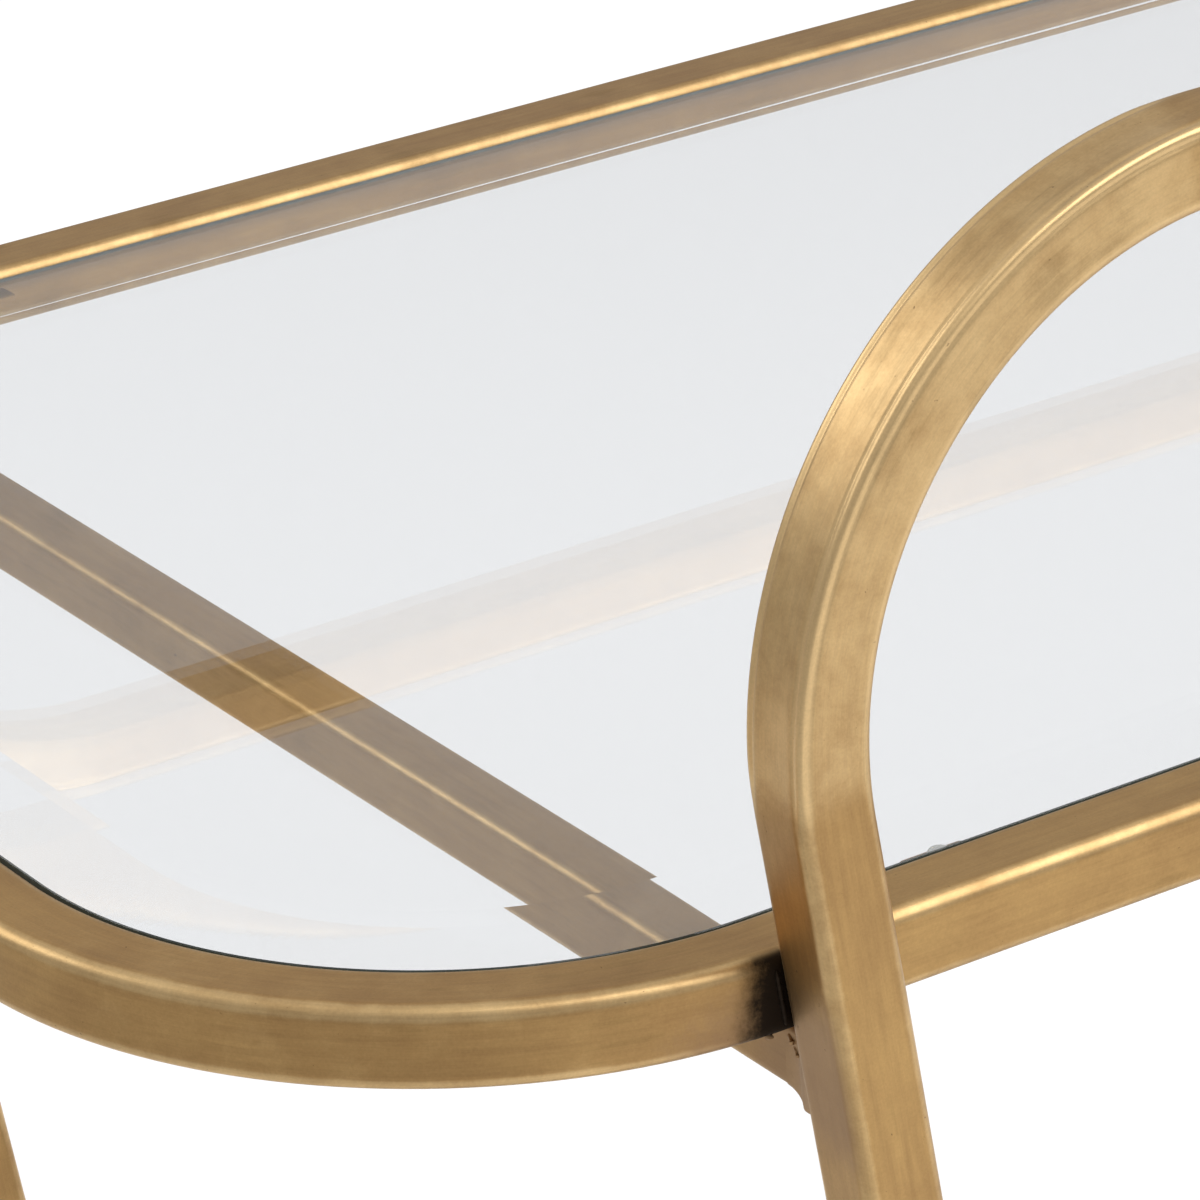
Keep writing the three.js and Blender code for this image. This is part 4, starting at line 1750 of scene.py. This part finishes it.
    def pedal(self) -> Solid:
        """Builds the brake pedal at rest, with grip ridges on its foot plate.

        Returns:
            The mesh, about its pivot.
        """
        tip = math.radians(270)
        lobe = [
            (share * self.lobe * math.cos(tip + turn), share * self.lobe * math.sin(tip + turn))
            for turn, share in ((-0.5, 0.94), (0, 1), (0.5, 0.92))
        ]
        outline = [(4, 2.4), (0, 3.8), (-10, 2.2), (-26, 5.6), (-27.5, 3.2), (-11, -1.4), (-6, -2.6)]
        outline += [*lobe, (4, -0.6)]
        width = self.inside - 1
        lever = extruded(eased(outline, 0.9, 4), -width, width).moved(UPRIGHT)
        ridges = []
        for k in range(4):
            x = -13.5 - 3.2 * k
            z = 2.2 + (-10 - x) * 3.4 / 16
            ridge = extruded(rounded_box_outline(1.3, 2 * width - 4, 0.6, 4), -0.5, 0.45)
            slope = Matrix.Rotation(math.radians(12), 4, "Y")
            ridges.append(cut(ridge, ease=0.2).moved(place(x, 0, z) @ slope))
        pin = rod(2, -self.outside + 0.2, self.outside - 0.2, 32)
        return joined(cut(lever, ease=0.5), *ridges, pin.moved(ALONG_Y))

    def dress(self, brass: Finish, steel: Finish, plastic: Finish, rubber: Finish) -> None:
        """Shows the caster.

        Args:
            brass: The finish of its plate, fork and pedal.
            steel: The finish of its stem and axle.
            plastic: The finish of its hub.
            rubber: The finish of its tyre.
        """
        name = self.corner_name
        at_axle = place(self.x - self.trail, self.y, self.wheel)
        swivel, wheel = f"swivel_{name}", f"wheel_{name}"
        pieces = [
            (self.end_plate, self.here, "end_plate", brass, "cart", "leg_end_plate"),
            (self.stem_solid, self.here, "stem", steel, "cart", "caster_stem"),
            (self.fork, self.here, "fork", brass, swivel, "caster_fork"),
            (self.axle_solid, at_axle, "axle", steel, swivel, "caster_axle"),
            (self.hub, at_axle, "hub", plastic, wheel, "wheel_hub"),
            (self.tyre, at_axle, "tyre", rubber, wheel, "wheel_tyre"),
        ]
        if self.braked:
            spot = place(self.x + self.pedal_x, self.y, self.pedal_z)
            pieces.append((self.pedal, spot, "pedal", brass, f"pedal_{name}", "brake_pedal"))
        for build, spot, piece, finish, body, node in pieces:
            build().moved(spot).shown(f"{piece}_{name}", finish, body, f"{node}_{name}")


# ---- Studio -----------------------------------------------------------------------------------------


@dataclass(frozen=True)
class Softbox:
    """A square area lamp aimed at a point."""

    name: str
    at: Spot
    aim: Spot
    size: tuple[float, float]
    power: float
    colour: Colour = (1.0, 1.0, 1.0)

    def build(self) -> None:
        """Hangs the lamp."""
        data = bpy.data.lights.new(self.name, "AREA")
        data.shape, data.size, data.size_y = "RECTANGLE", *self.size
        data.energy, data.color = self.power, self.colour
        lamp = added(self.name, data)
        lamp.location = self.at
        lamp.rotation_euler = (Vector(self.at) - Vector(self.aim)).to_track_quat("Z", "Y").to_euler()


@dataclass(frozen=True)
class Viewpoint:
    """A camera close to the cart's front left corner, looking down across the upper shelf."""

    at: Spot = (-1.05701, -1.24246, 1.33638)
    azimuth: float = 34.048
    elevation: float = 24.4
    roll: float = -1.945
    lens: float = 197.62

    def build(self) -> None:
        """Sets the camera up."""
        data = bpy.data.cameras.new("camera")
        data.lens, data.sensor_width = self.lens, 36.0
        data.clip_start, data.clip_end = 0.05, 60.0
        camera = added("camera", data)
        turn, tip, roll = (math.radians(a) for a in (self.azimuth, self.elevation, self.roll))
        ahead = Vector((math.sin(turn) * math.cos(tip), math.cos(turn) * math.cos(tip), -math.sin(tip)))
        right = Vector((math.cos(turn), -math.sin(turn), 0))
        up = right.cross(ahead)
        cos, sin = math.cos(roll), math.sin(roll)
        right, up = right * cos + up * sin, up * cos - right * sin
        facing = Matrix((right, up, -ahead)).transposed().to_4x4()
        camera.matrix_world = Matrix.Translation(self.at) @ facing
        bpy.context.scene.camera = camera


@dataclass
class Studio:
    """A plain pale studio: floor, soft surroundings, softboxes and the camera."""

    surroundings: tuple[tuple[float, Colour], ...] = (
        (0.00, (0.38, 0.38, 0.385)),
        (0.42, (0.65, 0.655, 0.67)),
        (0.72, (0.70, 0.70, 0.705)),
        (1.00, (0.85, 0.85, 0.85)),
    )
    softboxes: tuple[Softbox, ...] = (
        Softbox("front right softbox", (0.9, -1.6, 2.7), (0.0, -0.4, 0.5), (2.5, 2.5), 50.0),
        Softbox("back left softbox", (-1.9, 2.1, 2.4), (-0.3, -0.2, 0.8), (1.9, 1.6), 20.0),
    )
    viewpoint: Viewpoint = field(default_factory=Viewpoint)

    def world(self) -> None:
        """Surrounds the scene with soft grey, lighter overhead."""
        world = bpy.data.worlds.new("studio")
        bpy.context.scene.world = world
        s = Shader(world)
        height = s.parts(s.spot("Generated"))[2]
        ramp = s.add("ShaderNodeValToRGB", {"stops": self.surroundings}, {0: height})
        back = s.add("ShaderNodeBackground", None, {0: ramp.outputs[0]})
        s.add("ShaderNodeOutputWorld", None, {0: back.outputs[0]})

    def floor(self) -> None:
        """Lays the floor."""
        grid = bmesh.new()
        bmesh.ops.create_grid(grid, x_segments=8, y_segments=8, size=14.0)
        mesh = bpy.data.meshes.new("floor")
        grid.to_mesh(mesh)
        grid.free()
        mesh.materials.append(StudioFloor().material())
        added("floor", mesh)

    def build(self) -> None:
        """Sets the studio up."""
        self.viewpoint.build()
        self.world()
        self.floor()
        for softbox in self.softboxes:
            softbox.build()
        settings = bpy.context.scene.view_settings
        settings.view_transform, settings.look, settings.exposure = "Standard", "None", 0.0


# ---- Cart -------------------------------------------------------------------------------------------


@dataclass
class BarCart:
    """The whole cart."""

    front: Hoop = field(default_factory=lambda: Hoop("front_hoop"))
    back: Hoop = field(default_factory=lambda: Hoop("back_hoop"))
    shelves: tuple[Shelf, ...] = field(default_factory=lambda: (Shelf("top"), Shelf("low")))
    casters: tuple[Caster, ...] = field(
        default_factory=lambda: (
            Caster("front_left", True),
            Caster("front_right", False),
            Caster("back_left", True),
            Caster("back_right", False),
        )
    )

    def welds(self) -> tuple[WeldPlace, ...]:
        """Where the finish shows heat tint and a near-black patch round the legs, in metres.

        Returns:
            One place for each shelf.
        """
        made = []
        for shelf in self.shelves:
            height = (shelf.low.z + shelf.high.z) / 2
            leg, depth = self.front.leg_x(height) * MM, shelf.high.y * MM
            made.append(WeldPlace(leg, height * MM, self.front.lean, depth))
        return tuple(made)

    def dress(self) -> None:
        """Builds and shows every piece."""
        metal = AgedBrass(welds=self.welds())
        pressed = AgedBrass(name="aged brass pressings", grain=Grain.PRESSED)
        seam = AgedBrass(
            name="aged brass seams", grain=Grain.PRESSED, welds=self.welds(), leg_side_black_past_face=True
        )
        for hoop in (self.front, self.back):
            hoop.dress(metal)
        for shelf in self.shelves:
            shelf.dress(metal, pressed, ClearGlass(), Silicone())
            for side in (-1, 1):
                WeldSeams(shelf, self.front, side, -1).dress(seam)
                WeldSeams(shelf, self.back, side, 1).dress(seam)
        for caster in self.casters:
            caster.dress(pressed, PlatedSteel(), Plastic(), Rubber())


def main() -> None:
    """Sets up the studio, then builds and dresses the cart."""
    logging.basicConfig(level=logging.INFO, format="%(name)s: %(message)s")
    Studio().build()
    BarCart().dress()


if __name__ == "__main__":
    main()
